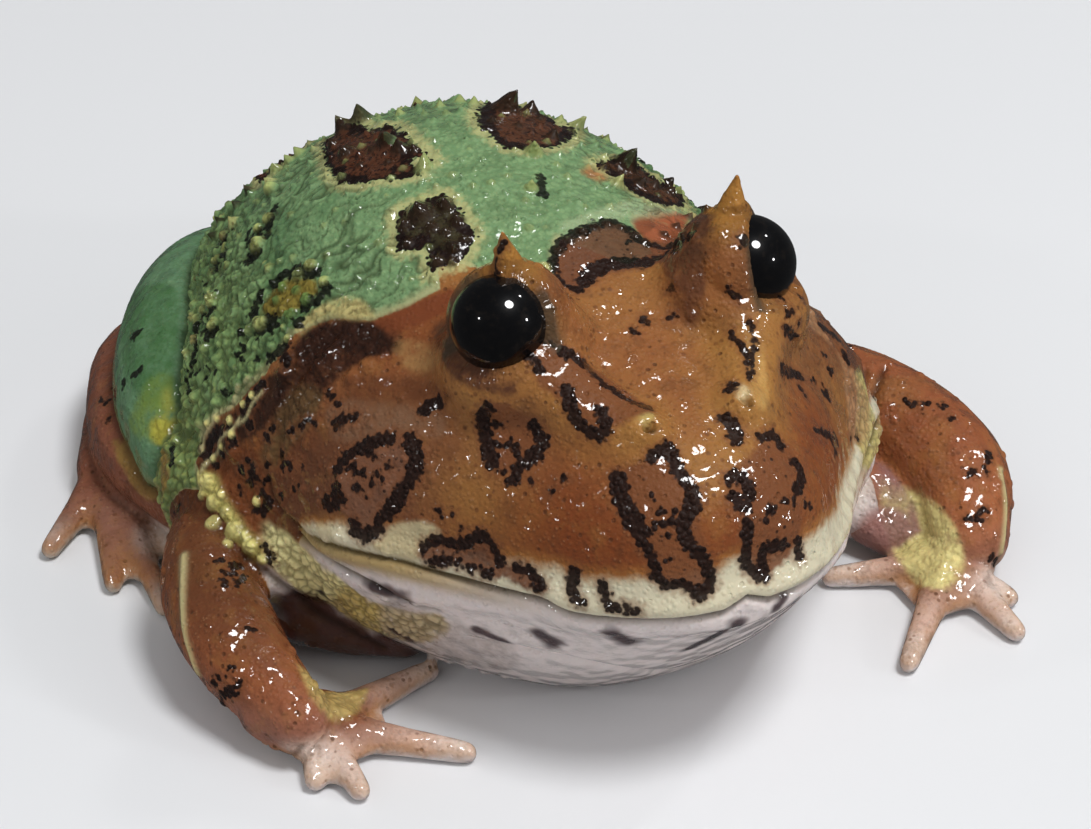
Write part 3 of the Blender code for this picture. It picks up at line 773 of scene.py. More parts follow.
class Places:
    """Where warts stand, to keep others clear of them."""

    def __init__(self):
        self.points = np.full((4000, 3), 1e6)
        self.count = 0

    def add(self, point):
        self.points[self.count] = point
        self.count += 1

    def free(self, point, gap):
        away = self.points[:self.count] - point
        return not np.any(np.einsum("ij,ij->i", away, away) < gap * gap)


def cad_warts():
    """The tips of the warts on the solids: corners that stand well proud of all their neighbours."""
    tips = []
    for node in ("torso", "head"):
        form = welded(node)
        for vertex in form.verts:
            around = [edge.other_vert(vertex).co for edge in vertex.link_edges]
            if not 5 <= len(around) <= 7 or vertex.co.z < 3:
                continue
            mean = sum(around, Vector()) / len(around)
            reach = sum((point - vertex.co).length for point in around) / len(around)
            proud = (vertex.co - mean).dot(vertex.normal)
            leans = [face.normal.dot(vertex.normal) for face in vertex.link_faces]
            if reach < 1.7 and proud / reach > 0.24 and max(leans) - min(leans) < 0.3:
                tips.append(np.array(vertex.co))
        form.free()
    return tips


def photo_warts():
    """The warts read off the photograph: pixel, radius, height, kind, colour and its weight."""
    rows = []
    for name, colour in (("dark", TIP_DARK), ("yellow", TIP_YELLOW)):
        rows += [(*row, "spine", colour, SPINE_TINT) for row in SPINE_PIXELS[name]]
    for pixel, radius, black in BEAD_PIXELS:
        colour = PEARL if pixel[1] > PEARLS_BELOW else PALE_GREEN
        rows.append((pixel, radius, BEAD_RISE * radius, "bead", colour, SPINE_TINT))
    for pixel, radius in GREEN_BEADS:
        rows.append((pixel, radius, BEAD_RISE * radius, "bead", BEAD_GREEN, 0.9))
    return rows


def shape_cad_wart(at, normal, rng):
    """Low domes on the head, beads on the flanks and spines on the back."""
    bead = abs(degrees_round(at)) > 50
    radius = 0.45 if bead else rng.uniform(0.45, 0.7)
    height = 0.35 if bead else radius * 1.1
    if back_distance[skin.points.find(at)[1]] < 0:
        raise_point(at, normal, 0.5, 0.3, "dome")
    else:
        colour = PEARL if rng.random() < 0.3 else TIP_YELLOW
        raise_point(at, normal, radius, height, "bead" if bead else "spine", colour, 0.45)


def scatter_warts(placed, rng):
    """Small spines over the back and small beads over the flanks, clear of the others."""
    count = dict.fromkeys(EXTRA_WARTS, 0)
    for k in range(EXTRA_TRIES):
        if all(count[kind] >= wart["count"] for kind, wart in EXTRA_WARTS.items()):
            break
        y, degrees = rng.uniform(-4, 31), rng.uniform(-108, 108)
        at, normal = on_trunk(y, degrees)
        index = skin.points.find(at)[1]
        if core_share[index] < 0.9 or back_distance[index] < 0.6:
            continue
        kind = "bead" if abs(degrees) > 40 + 12 * rng.random() else "spine"
        wart = EXTRA_WARTS[kind]
        if count[kind] < wart["count"] and placed.free(at, wart["gap"]):
            radius = rng.uniform(*wart["radius"])
            colour = wart["colour"] if rng.random() < wart["tinted"] else None
            rise = rng.uniform(*EXTRA_SPINE_RISE) if kind == "spine" else EXTRA_BEAD_RISE
            raise_point(at, normal, radius, radius * rise, kind, colour, wart["weight"])
            placed.add(at)
            count[kind] += 1


def shape_warts():
    rng = random.Random(5)
    placed = Places()
    for pixel, *wart in photo_warts():
        hit = cast_near(pixel)
        if hit is not None:
            raise_point(*hit, *wart)
            placed.add(hit[0])
    for tip in cad_warts():
        at, normal = settle(tip)
        if placed.free(at, 1.0):
            shape_cad_wart(at, normal, rng)
            placed.add(at)
    scatter_warts(placed, rng)


def shape_limb_grains():
    """Low grains over the arms and the sides of the head."""
    rng = random.Random(9)
    cheeks = (core_share > 0.9) & (back_distance < -1) & (skin.at[:, 1] > -16)
    where = np.nonzero((arm_share > 0.8) | cheeks)[0]
    for k in range(LIMB_GRAINS):
        index = int(where[rng.randrange(len(where))])
        radius = rng.uniform(0.22, 0.4)
        raise_point(skin.base[index], skin.base_normal[index], radius, radius * 0.45, "bead")


# Wrinkles, scales and cobbles

WRINKLE_DEPTH = 0.13
SCALE_SIZE = 1.0  # of the flank's scales, in mm
SCALE_HEIGHT = 0.17
COBBLE_SIZE = 0.72
COBBLE_HEIGHT = 0.16
GRAIN_SIZE = 0.5
GRAIN_HEIGHT = 0.02


def cells_at(which, size, stretch=(1, 1, 1)):
    """0 on the edges between rounded cells and about 1 in their middles, for some points of the skin."""
    edge = np.zeros(skin.count)
    places = np.nonzero(which)[0]
    points = skin.base[places] * stretch / size
    for k, point in zip(places, points.tolist()):
        nearest = noise.voronoi(point)[0]
        edge[k] = nearest[1] - nearest[0]
    return smooth_step(edge, 0.0, 0.32)


def wrinkles():
    """Fine folds that run down from the back to the flank, and small ticks between them."""
    x, y, z = skin.base.T
    along = y + 0.9 * (waves(0.35, 12) - 0.5) * 4
    found = np.zeros(skin.count)
    for k in np.nonzero((back_distance > -0.5) & (core_share > 0.5))[0]:
        long_fold = noise.noise((along[k] * 0.62, turn_round[k] * 0.035, 3.0))
        tick = noise.noise((along[k] * 1.3, turn_round[k] * 0.16, 9.0))
        found[k] = max(1 - 9 * abs(long_fold), 0.75 - 7 * abs(tick))
    return np.clip(found, 0, 1)


def shape_relief():
    """Carves the wrinkles, scales and cobbles, and returns the painted shade in the hollows between scales
    and between cobbles, and in the folds.
    """
    fold_places = smooth_step(turn_round, 14, 30) * smooth_step(-turn_round, -75, -45) + 0.35
    folds = wrinkles() * np.clip(fold_places, 0, 1) * core_share * smooth_step(back_distance, 0.2, 1.0)
    scales = cells_at(scaly > 0.05, SCALE_SIZE)
    cobbles = cells_at(cobbled > 0.05, COBBLE_SIZE)
    grainy = (1 - np.clip(scaly + cobbled, 0, 1)) * (skin.base[:, 2] > 2.0)
    grainy = np.where((high_above_mouth < -1) & (skin.base[:, 1] < -6), 0.4 * grainy, grainy)
    grain = cells_at(grainy > 0.05, GRAIN_SIZE)
    lift = scaly * SCALE_HEIGHT * (scales - 0.6) + cobbled * COBBLE_HEIGHT * (cobbles - 0.6)
    lift += grainy * GRAIN_HEIGHT * (grain - 0.6) - WRINKLE_DEPTH * folds
    open_skin = smooth_step(np.abs(high_above_mouth), 0.3, 0.8) * smooth_step(lid_distance, 0.4, 1.2)
    skin.push(lift * np.where(skin.base[:, 1] < 0, open_skin, 1.0))
    # Painted shade in the hollows between scales and between cobbles
    painted_gap_shade = np.maximum(scaly * (1 - scales) * 0.62, cobbled * (1 - cobbles) * 0.85)
    return np.maximum(painted_gap_shade, folds * 0.75)


# Where the green of the back ends: pixels from the top of the neck down the right side

BORDER = (
    (640, 214), (560, 240), (530, 262), (478, 268), (440, 288), (406, 308), (371, 321), (335, 318),
    (293, 336), (280, 356), (262, 377), (238, 405), (215, 418), (203, 440), (199, 474), (202, 498),
)


def border_field():
    """How far each point lies behind the front edge of the green, along the body."""
    rows = []
    for pixel in BORDER:
        hit = cast(pixel)
        if hit is not None:
            rows.append((abs(degrees_round(hit[0])), hit[0][1]))
    rows.sort()
    behind = skin.at[:, 1] - np.interp(turn_round, *zip(*rows))
    for eye in EYES.values():
        away = np.linalg.norm(skin.at - eye["centre"], axis=1)
        reach = 8.0 if eye is EYES["left"] else 6.4
        behind -= 4.0 * smooth_step(-away, -reach, -reach + 1.6)
    return behind


# Marks: outlines in pixels of the photograph. Each is darker than the ground and has a broken black rim

BACK_MARKS = {
    "rear right": (
        (324, 132), (336, 131), (358, 125), (374, 129), (392, 125), (406, 134), (427, 154), (431, 163),
        (411, 158), (419, 174), (376, 182), (344, 184), (329, 170), (322, 141),
    ),
    "rear left": (
        (475, 116), (485, 103), (498, 97), (526, 95), (540, 101), (556, 124), (572, 125), (578, 133),
        (559, 146), (541, 148), (509, 149), (495, 140), (484, 131),
    ),
    "middle right": (
        (397, 211), (422, 202), (441, 194), (452, 200), (467, 222), (476, 242), (469, 249), (460, 263),
        (440, 268), (429, 274), (427, 250), (399, 250), (396, 231),
    ),
    "front left": (
        (594, 164), (607, 160), (628, 157), (646, 170), (661, 181), (680, 188), (685, 205), (670, 205),
        (644, 198), (620, 181),
    ),
}
# These have a darker or paler ground, and their black is drawn as strokes
HEAD_MARKS = {
    "flank right": (
        (262, 306), (268, 296), (280, 283), (297, 276), (315, 280), (318, 290), (308, 302), (293, 312),
        (272, 318), (262, 314),
    ),
    "between the eyes": (
        (552, 262), (556, 248), (575, 230), (589, 225), (608, 222), (628, 226), (645, 240), (668, 246),
        (684, 240), (676, 257), (647, 265), (619, 271), (592, 279), (575, 291), (560, 283),
    ),
    "nose bar": (
        (548, 345), (570, 348), (592, 366), (625, 390), (650, 408), (640, 415), (603, 432), (592, 435),
        (575, 413), (537, 380),
    ),
    "right cheek": ((482, 410), (500, 402), (520, 410), (541, 430), (540, 455), (520, 474), (500, 470),
     (484, 440)),
    "right cheek, behind": (
        (339, 468), (352, 453), (368, 445), (381, 438), (400, 436), (414, 442), (416, 460), (410, 480),
        (402, 499), (386, 514), (372, 530), (358, 530), (345, 515), (336, 500),
    ),
    "right snout": (
        (612, 475), (640, 462), (660, 448), (672, 452), (683, 480), (694, 510), (708, 555), (710, 592),
        (695, 592), (680, 585), (662, 582), (650, 565), (642, 540), (622, 512),
    ),
    "left snout": (
        (733, 478), (752, 450), (772, 436), (793, 452), (802, 480), (799, 530), (790, 556), (765, 578),
        (750, 565), (745, 535), (736, 505),
    ),
    "right lip": (
        (421, 555), (428, 544), (448, 537), (471, 539), (482, 532), (494, 544), (505, 562), (520, 564),
        (539, 575), (548, 591), (530, 589), (512, 580), (494, 578), (475, 569), (453, 564), (435, 566),
    ),
    "neck patch": (
        (299, 357), (305, 335), (335, 322), (380, 326), (390, 345), (372, 357), (340, 352), (318, 362),
    ),
    "flank patch": (
        (245, 400), (255, 382), (275, 372), (286, 352), (298, 352), (288, 380), (281, 395), (270, 420),
        (255, 436),
        (238, 445), (222, 462), (203, 470), (200, 448), (212, 425), (230, 415),
    ),
}
MIRRORED_MARKS = (
    "flank right", "right cheek", "right cheek, behind", "right lip", "neck patch", "flank patch",
)
# Marks on the hidden parts of the back: y, degrees round, half lengths along and round the body
HIDDEN_MARKS = (
    (21.5, 8.0, 2.6, 2.2), (22.0, -34.0, 2.2, 2.6), (20.5, 44.0, 2.4, 2.2), (13.5, 50.0, 2.2, 2.8),
    (27.5, -10.0, 1.6, 2.6),
)
FILLS = {
    "rear right": (0.095, 0.034, 0.016), "rear left": (0.10, 0.038, 0.018),
    "middle right": (0.045, 0.036, 0.016), "front left": (0.09, 0.036, 0.016),
    "flank right": (0.26, 0.19, 0.03), "between the eyes": (0.155, 0.060, 0.030),
    "right cheek, behind": (0.20, 0.088, 0.048), "right lip": (0.12, 0.048, 0.026),
    "neck patch": (0.035, 0.012, 0.006), "flank patch": (0.03, 0.011, 0.006),
}
HEAD_FILL = (0.19, 0.066, 0.024)
# Black strokes: radius in pixels, then pixels along each
INK = (
    (4.2, ((555, 252), (566, 239), (585, 229), (600, 223), (616, 223), (630, 231), (639, 240), (653, 246))),
    (3.4, ((653, 246), (666, 248), (680, 242), (691, 236))),
    (2.6, ((555, 252), (553, 266), (560, 280), (569, 287), (578, 289), (585, 283))),
    (6.2, ((584, 280), (596, 270), (612, 264), (630, 262), (646, 262))),
    (3.2, ((646, 263), (658, 258), (668, 252), (680, 246))), (1.1, ((740, 184), (748, 200), (754, 214))),
    (1.6, ((503, 243), (498, 254), (494, 266))),
    (3.5, ((566, 351), (585, 365), (603, 383), (625, 398), (645, 407))),
    (4.2, ((566, 391), (575, 418), (594, 434), (607, 427), (600, 408))), (3.0, ((537, 364), (541, 372))),
    (3.0, ((560, 350), (566, 356))), (5.5, ((724, 420), (735, 428), (734, 438))),
    (1.6, ((730, 332), (738, 342), (746, 356), (748, 373))),
    (1.6, ((750, 323), (754, 340), (753, 359), (750, 377))), (3.0, ((785, 329), (794, 337))),
    (3.5, ((822, 326), (836, 337))), (3.5, ((782, 369), (800, 376))),
    (2.6, ((815, 429), (830, 436), (837, 442), (835, 455))), (2.4, ((842, 352), (848, 362))),
    (2.4, ((824, 388), (828, 398))), (4.5, ((425, 410), (432, 404), (441, 403))),
    (4.5, ((336, 423), (342, 420))), (4.5, ((326, 502), (330, 506))), (6.0, ((617, 478), (621, 492))),
    (7.0, ((622, 500), (632, 520), (640, 532))),
    (4.4, ((652, 457), (667, 448), (675, 465), (685, 480), (692, 490))),
    (5.2, ((693, 492), (690, 512), (682, 524))),
    (4.6, ((684, 536), (697, 552), (708, 568), (710, 584), (698, 594))),
    (3.6, ((655, 575), (667, 586), (680, 583), (691, 589))), (3.4, ((643, 540), (652, 558), (655, 572))),
    (4.6, ((730, 478), (741, 475), (749, 490), (745, 508), (735, 498))),
    (4.2, ((762, 438), (774, 436), (780, 446))), (4.6, ((794, 462), (801, 475), (797, 490))),
    (4.2, ((747, 525), (745, 545), (748, 565), (758, 576), (765, 572), (761, 560), (769, 547), (784, 546))),
    (3.6, ((797, 540), (799, 556))), (4.2, ((575, 572), (572, 588), (580, 602))),
    (3.4, ((602, 586), (610, 604), (622, 607), (637, 610))), (3.6, ((540, 177), (543, 194))),
    (2.2, ((537, 297), (541, 300))), (2.0, ((512, 273), (515, 276))), (4.0, ((743, 241), (745, 245))),
    (3.2, ((731, 290), (736, 295))), (3.2, ((732, 384), (729, 389))),
)
# These are on both sides
INK_BOTH = (
    (4.2, ((337, 469), (348, 455), (362, 448), (378, 440), (392, 437))),
    (5.8, ((410, 440), (416, 453), (414, 471), (405, 487), (398, 500), (386, 512))),
    (4.6, ((380, 520), (378, 530), (366, 536), (356, 531), (354, 524))),
    (4.6, ((336, 487), (335, 503), (341, 498))), (5.0, ((487, 408), (482, 420), (486, 440), (493, 463))),
    (4.6, ((534, 428), (543, 439), (538, 453), (528, 460), (520, 468), (512, 479))),
    (4.0, ((424, 549), (440, 540), (455, 545), (470, 541), (482, 536), (494, 548), (500, 563))),
    (3.2, ((430, 562), (450, 560), (470, 568), (492, 574))),
    (3.8, ((516, 568), (530, 572), (543, 584), (535, 589))), (6.0, ((272, 325), (268, 320))),
    (4.6, ((261, 295), (256, 306), (252, 318))),
    (4.4, ((274, 284), (286, 275), (296, 270), (306, 273), (318, 272))),
    (4.4, ((325, 290), (315, 300), (305, 307))), (3.8, ((298, 320), (300, 324))),
    (4.0, ((152, 263), (147, 267))), (3.2, ((134, 337), (138, 332))), (3.0, ((133, 374), (140, 370))),
    (2.4, ((250, 232), (246, 240))), (3.8, ((248, 256), (250, 262))),
    (2.8, ((276, 205), (272, 214), (268, 236))), (3.4, ((196, 330), (195, 350), (192, 362))),
    (3.0, ((205, 330), (208, 338))), (3.4, ((171, 450), (172, 462))), (2.2, ((186, 372), (190, 400))),
    (5.0, ((222, 430), (212, 440), (206, 455))), (4.2, ((270, 358), (282, 350), (288, 362))),
    (3.4, ((262, 385), (250, 398), (244, 412), (250, 425))), (3.0, ((262, 492), (268, 503), (263, 512))),
    (2.8, ((176, 505), (170, 520))),
)
# Groups of small black specks: pixel, reach in pixels, how many
SPECKS = (
    ((236, 572), 20, 12), ((228, 686), 20, 14), ((246, 629), 4, 2), ((262, 560), 12, 6),
    ((918, 396), 16, 5), ((948, 412), 12, 3), ((985, 468), 14, 5), ((975, 520), 14, 4), ((998, 560), 12, 3),
    ((255, 470), 20, 12), ((300, 420), 34, 9), ((290, 480), 28, 8), ((350, 400), 30, 4),
    ((470, 500), 30, 3), ((820, 380), 26, 6), ((845, 430), 18, 4), ((795, 310), 14, 4), ((640, 300), 60, 5),
    ((560, 480), 40, 3), ((365, 470), 30, 12), ((505, 445), 20, 9), ((655, 520), 30, 9),
    ((775, 500), 30, 9), ((210, 285), 24, 9), ((230, 240), 22, 9), ((205, 380), 24, 10),
    ((240, 350), 22, 6), ((110, 400), 20, 7), ((120, 300), 14, 4),
)
SPECK_RADIUS = (0.08, 0.24)
SPECK_LENGTH = 0.2
INK_SPREAD = 1.3  # how much wider the strokes are than their lines were read
# Soft dark marks on the pale throat: pixels along each, radius in pixels
THROAT_SPOTS = (
    (((478, 630), (505, 643)), 5), (((540, 634), (552, 642)), 9), (((612, 634), (628, 641)), 10),
    (((692, 647), (738, 624)), 7), (((462, 666), (495, 676)), 6), (((776, 606), (784, 597)), 5),
    (((372, 588), (404, 600)), 8), (((392, 630), (410, 640)), 5), (((320, 592), (328, 598)), 4),
)
# Soft patches of colour, some of them with painted shade: outline in pixels, colour, weight, how cobbled the
# skin is there
PATCHES = (
    (((262, 524), (285, 532), (302, 548), (322, 566), (346, 584), (350, 600), (318, 604), (290, 584),
      (266, 560)),
     (0.95, 0.86, 0.42), 0.9, 0.75),
    (((346, 586), (372, 602), (410, 613), (440, 616), (446, 630), (420, 642), (380, 634), (340, 612),
      (334, 600)),
     (0.74, 0.56, 0.19), 0.9, 0.75),
    (((198, 472), (216, 474), (224, 494), (242, 520), (264, 550), (258, 562), (236, 548), (210, 522),
      (200, 495)),
     (0.72, 0.64, 0.20), 0.85, 0.7),
    (((633, 222), (650, 212), (676, 212), (694, 222), (690, 238), (668, 244), (648, 240)),
     (0.34, 0.10, 0.04), 0.85, 0.0),
    (((293, 345), (312, 325), (340, 318), (375, 322), (395, 330), (400, 350), (370, 358), (345, 372),
      (320, 400),
      (300, 430), (285, 440), (268, 430), (275, 400), (283, 370)), (0.06, 0.02, 0.009), 0.85, 0.55),
    (((372, 324), (410, 305), (452, 288), (458, 305), (425, 322), (392, 334)),
     (0.19, 0.05, 0.016), 0.85, 0.0),
    # Painted shade under and beside the right eye
    (((430, 332), (452, 318), (458, 350), (475, 370), (500, 382), (522, 378), (515, 394), (480, 392),
      (450, 374)),
     (0.10, 0.038, 0.018), 0.75, 0.0),
    (((395, 345), (415, 338), (435, 348), (440, 362), (425, 374), (403, 368)), (0.33, 0.17, 0.06), 0.6, 0.0),
    (((345, 378), (400, 375), (440, 385), (452, 400), (400, 404), (350, 402)),
     (0.14, 0.046, 0.016), 0.6, 0.0),
    (((332, 402), (400, 405), (445, 415), (440, 440), (400, 436), (350, 446), (328, 432)),
     (0.21, 0.105, 0.055), 0.6, 0.0),
    (((283, 402), (300, 385), (322, 395), (315, 422), (295, 445), (272, 470), (258, 460), (268, 430)),
     (0.15, 0.085, 0.032), 0.65, 0.35),
    (((296, 326), (316, 308), (340, 297), (362, 300), (374, 316), (350, 317), (326, 315), (302, 332)),
     (0.55, 0.47, 0.19), 0.8, 0.0),
    (((135, 292), (165, 282), (180, 300), (174, 380), (150, 402), (125, 380), (122, 330)),
     (0.06, 0.15, 0.05), 0.55, 0.0),
    (((150, 380), (172, 376), (175, 410), (168, 440), (140, 440), (128, 420)), (0.17, 0.25, 0.05), 0.55, 0.0),
    (((122, 442), (150, 446), (156, 470), (152, 500), (136, 490), (124, 466)),
     (0.34, 0.19, 0.055), 0.85, 0.4),
    (((132, 452), (150, 447), (166, 452), (170, 480), (158, 502), (142, 492)),
     (0.32, 0.21, 0.055), 0.85, 0.5),
    (((856, 372), (872, 365), (884, 400), (880, 440), (866, 470), (856, 440), (858, 400)),
     (0.56, 0.47, 0.18), 0.8, 0.6),
    # Darker mauve grey on the throat's left: partly its mottled colour, partly painted shade
    (((380, 600), (450, 620), (500, 640), (520, 665), (470, 682), (400, 662)), (0.42, 0.35, 0.325), 0.5, 0.0),
    (((215, 455), (240, 445), (262, 460), (268, 500), (262, 540), (240, 520), (222, 490)),
     (0.17, 0.05, 0.014), 0.8, 0.3),
    (((296, 650), (330, 642), (360, 662), (366, 700), (340, 722), (312, 700)), (0.52, 0.37, 0.13), 0.8, 0.4),
    (((882, 480), (905, 488), (940, 508), (962, 545), (958, 580), (932, 590), (905, 570), (885, 530)),
     (0.80, 0.68, 0.28), 0.85, 0.3),
    (((372, 545), (392, 526), (425, 522), (442, 536), (424, 548), (418, 560), (395, 556)),
     (0.52, 0.43, 0.25), 0.9, 0.0),
    (((560, 222), (600, 208), (640, 196), (690, 208), (660, 216), (620, 222), (570, 240)),
     (0.36, 0.46, 0.25), 0.6, 0.0),
    (((580, 172), (595, 164), (612, 172), (600, 182)), (0.42, 0.21, 0.08), 0.8, 0.0),
    (((636, 410), (646, 408), (650, 416), (642, 424), (634, 420)), (0.50, 0.36, 0.12), 0.8, 0.0),
    (((734, 386), (742, 384), (748, 392), (742, 400), (735, 396)), (0.66, 0.52, 0.28), 0.8, 0.0),
    (((745, 330), (756, 330), (766, 360), (770, 400), (760, 410), (750, 385)), (0.52, 0.29, 0.085), 0.7, 0.0),
    (((796, 262), (835, 300), (862, 345), (868, 400), (864, 440), (850, 440), (846, 400), (836, 350),
      (812, 310)),
     (0.44, 0.23, 0.11), 0.55, 0.4),
    (((112, 440), (150, 450), (170, 480), (160, 500), (130, 480)), (0.26, 0.15, 0.04), 0.7, 0.0),
    (((152, 421), (171, 419), (172, 438), (154, 442)), (0.52, 0.47, 0.07), 0.85, 0.5),
    (((163, 394), (170, 392), (174, 420), (166, 421)), (0.36, 0.36, 0.07), 0.6, 0.0),
    (((672, 222), (696, 204), (713, 206), (712, 240), (700, 264), (672, 264), (660, 244)),
     (0.10, 0.04, 0.018), 0.85, 0.0),
    (((664, 262), (700, 262), (706, 300), (692, 330), (674, 305)), (0.14, 0.052, 0.022), 0.7, 0.0),
)
# Pale fringes and ridges: width and height in mm, then pixels along each
FRINGES = (
    (0.3, 0.2, ((184, 556), (183, 600), (187, 640), (206, 688), (228, 722), (250, 744), (288, 766))),
    (0.25, 0.16, ((1000, 470), (1005, 500), (1004, 530), (1001, 552))),
    (0.16, 0.1, ((248, 378), (236, 392), (233, 406), (222, 411), (213, 423), (205, 436), (203, 452))),
    (0.13, 0.08, ((240, 418), (232, 430), (220, 440), (218, 452), (208, 463), (200, 474))),
    (0.13, 0.08, ((262, 392), (252, 404), (246, 418), (238, 424))),
)
FRINGE_CREAM = (0.54, 0.48, 0.24)


def inside_distance(points, outline):
    """The distance in a plane from each point to an outline: more than 0 inside, less outside."""
    closed = np.vstack([outline, outline[:1]])
    best = np.full(len(points), 1e9)
    inside = np.zeros(len(points), bool)
    for a, b in zip(closed, closed[1:]):
        best = np.minimum(best, distance_to_stretch(points, a, b))
        crosses = (a[1] > points[:, 1]) != (b[1] > points[:, 1])
        rise = np.where(abs(b[1] - a[1]) > 1e-12, b[1] - a[1], 1e-12)
        inside ^= crosses & (points[:, 0] < a[0] + (points[:, 1] - a[1]) * (b[0] - a[0]) / rise)
    return np.where(inside, best, -best)


def add_mark(field, fill_field, line, colour):
    """Draws one mark, an outline of points on the skin, into the field of distances and its colour."""
    middle = line.mean(0)
    normal = unit(settle(middle)[1])
    across = unit(np.cross(normal, (0.3, 0.2, 1.0) if abs(normal[2]) < 0.9 else (0.0, 1.0, 0.2)))
    other = np.cross(normal, across)
    reach = np.linalg.norm(line - middle, axis=1).max() + 3.0
    near = skin.near(middle, reach)
    near = near[((skin.normal[near] @ normal) > 0.1) & (group[near] == common_group(line)[1])]
    plane = np.array((across, other)).T
    distance = inside_distance((skin.base[near] - middle) @ plane, (line - middle) @ plane)
    better = distance > field[near]
    field[near[better]] = distance[better]
    fill_field[near[better], :3] = colour


def mark_line(pixels):
    """A closed outline on the skin, without the points that fall on another limb."""
    line = cast_line(pixels, closed=True)
    groups, common = common_group(line)
    return line[groups == common]


def mark_fields():
    """Distances into the marks of the back and of the head, and the colours inside them."""
    found = []
    for rows in (BACK_MARKS, HEAD_MARKS):
        field = np.full(skin.count, -FAR)
        fills = np.ones((skin.count, 4)) * (*HEAD_FILL, 1)
        for name, pixels in rows.items():
            line = mark_line(pixels)
            colour = FILLS.get(name, HEAD_FILL)
            add_mark(field, fills, line, colour)
            if name in MIRRORED_MARKS and mostly_hidden(other_side(line)):
                add_mark(field, fills, other_side(line), colour)
        found += [field, fills]
    field, fills = found[:2]
    for y, degrees, along, round_it in HIDDEN_MARKS:
        line = []
        for k in range(12):
            turn = math.radians(30 * k)
            wobble = 1 + 0.16 * math.sin(3 * turn + y)
            shift = math.degrees(round_it * wobble * math.sin(turn) / TRUNK_RADIUS)
            line.append(on_trunk(y + along * wobble * math.cos(turn), degrees + shift)[0])
        add_mark(field, fills, np.array(line), FILLS["rear left"])
    return found


def mostly_hidden(line):
    return len(hidden(line)) > 0.5 * len(line)


def other_side(line):
    """The same line on the frog's other side, a little further back."""
    middle = np.array((trunk_middle(line[:, 1].mean()), 0, 0))
    moved = mirrored(line - middle) + middle + (0, 0.4, 0)
    return np.array([settle(point)[0] for point in moved])


def hidden(points):
    """The points that the photograph doesn't show."""
    found = []
    for point in points:
        hit = skin.tree.ray_cast(Vector(CAMERA), Vector(unit(point - CAMERA)))[0]
        if hit is None or np.linalg.norm(np.array(hit) - point) > 0.6:
            found.append(point)
    return np.array(found)


def draw(field, line, radius):
    """Adds a stroke to a field: more than 0 inside it."""
    near = np.unique(np.concatenate([skin.near(point, radius + 1.0) for point in line]))
    field[near] = np.maximum(field[near], radius - distance_to_line(skin.base[near], line))


def strokes(pixels, both):
    """A line of pixels on the skin and, for both sides, the hidden part of its like on the other side."""
    lines = [cast_line(pixels)]
    if both and len(lines[0]) > 1:
        lines.append(hidden(other_side(lines[0])))
    return [line for line in lines if len(line) > 1]


def ink_field():
    field = np.full(skin.count, -FAR)
    for rows, both in ((INK, False), (INK_BOTH, True)):
        for radius, pixels in rows:
            for line in strokes(pixels, both):
                draw(field, line, INK_SPREAD * radius / PIXELS_PER_MM)
    # Painted shadow: a black spot just below each bead so marked
    for (x, y), radius, black in BEAD_PIXELS:
        hits = [hit for hit in (cast((x - 1, y + 5)), cast((x + 1, y + 9))) if hit is not None]
        if black and len(hits) == 2:
            draw(field, np.array([hit[0] for hit in hits]), radius * 0.8)
    rng = random.Random(3)
    for (x, y), reach, count in SPECKS:
        for k in range(count):
            hit = cast((x + rng.gauss(0, 0.5) * reach, y + rng.gauss(0, 0.5) * reach))
            if hit is None:
                continue
            radius = rng.uniform(*SPECK_RADIUS)
            for middle in (hit[0], *hidden([settle(mirrored(hit[0]))[0]])):
                end = settle(middle + [rng.gauss(0, SPECK_LENGTH) for axis in range(3)])[0]
                draw(field, np.array((middle, end + 0.001)), radius)
    return field


# Colours of the ground, in linear light

MINT = (0.225, 0.36, 0.165)
MINT_DEEP = (0.085, 0.185, 0.075)
MOSS = (0.29, 0.42, 0.14)
LEAF = (0.135, 0.255, 0.135)
LEAF_YELLOW = (0.30, 0.27, 0.06)
TAN = (0.285, 0.105, 0.033)
OCHRE = (0.385, 0.185, 0.045)
RUST = (0.20, 0.048, 0.012)
MAUVE = (0.15, 0.060, 0.029)
DEEP_BROWN = (0.095, 0.034, 0.013)
HORN_OCHRE = (0.38, 0.175, 0.034)
LIP_CREAM = (0.66, 0.60, 0.43)
THROAT = (0.76, 0.67, 0.645)
BELLY = (0.62, 0.54, 0.46)
JAW_YELLOW = (0.58, 0.45, 0.20)
ARM = (0.29, 0.090, 0.034)
ARM_PINK = (0.34, 0.16, 0.12)
SHANK = (0.23, 0.08, 0.044)
PINK = (0.66, 0.44, 0.35)
TIP_PINK = (0.86, 0.74, 0.66)
FOOT_PINK = (0.26, 0.115, 0.075)
ORANGE = (0.44, 0.15, 0.055)
LIP_OLIVE = (0.36, 0.24, 0.065)
THROAT_SPOT = (0.045, 0.02, 0.026)
RIM_OLIVE = (0.060, 0.044, 0.026)
# The dark edge of the lower lids, with painted shade under the eyes
RIM_EDGE_AND_SHADE = (0.026, 0.014, 0.009)


def shade(layer, colour, weight):
    layer += (np.array(colour) - layer) * np.asarray(weight)[:, None]


def waves(scale, seed, octaves=2):
    """Smooth noise over the skin, about 0 to 1, with features of about 1 / scale mm."""
    points = skin.base * scale + np.array((7.1, 3.3, 5.7)) * seed
    values = [noise.fractal(point, 1.0, 2.0, octaves) for point in points.tolist()]
    return np.clip(np.array(values) * 0.5 + 0.5, 0, 1)


def around(pixel, radius):
    """1 at the place of a pixel, falling to 0 over so many millimetres, on both sides of the frog."""
    hit = cast(pixel)
    both = (hit[0], mirrored(hit[0]))
    return np.maximum(*[hill(np.linalg.norm(skin.base - middle, axis=1), radius) for middle in both])


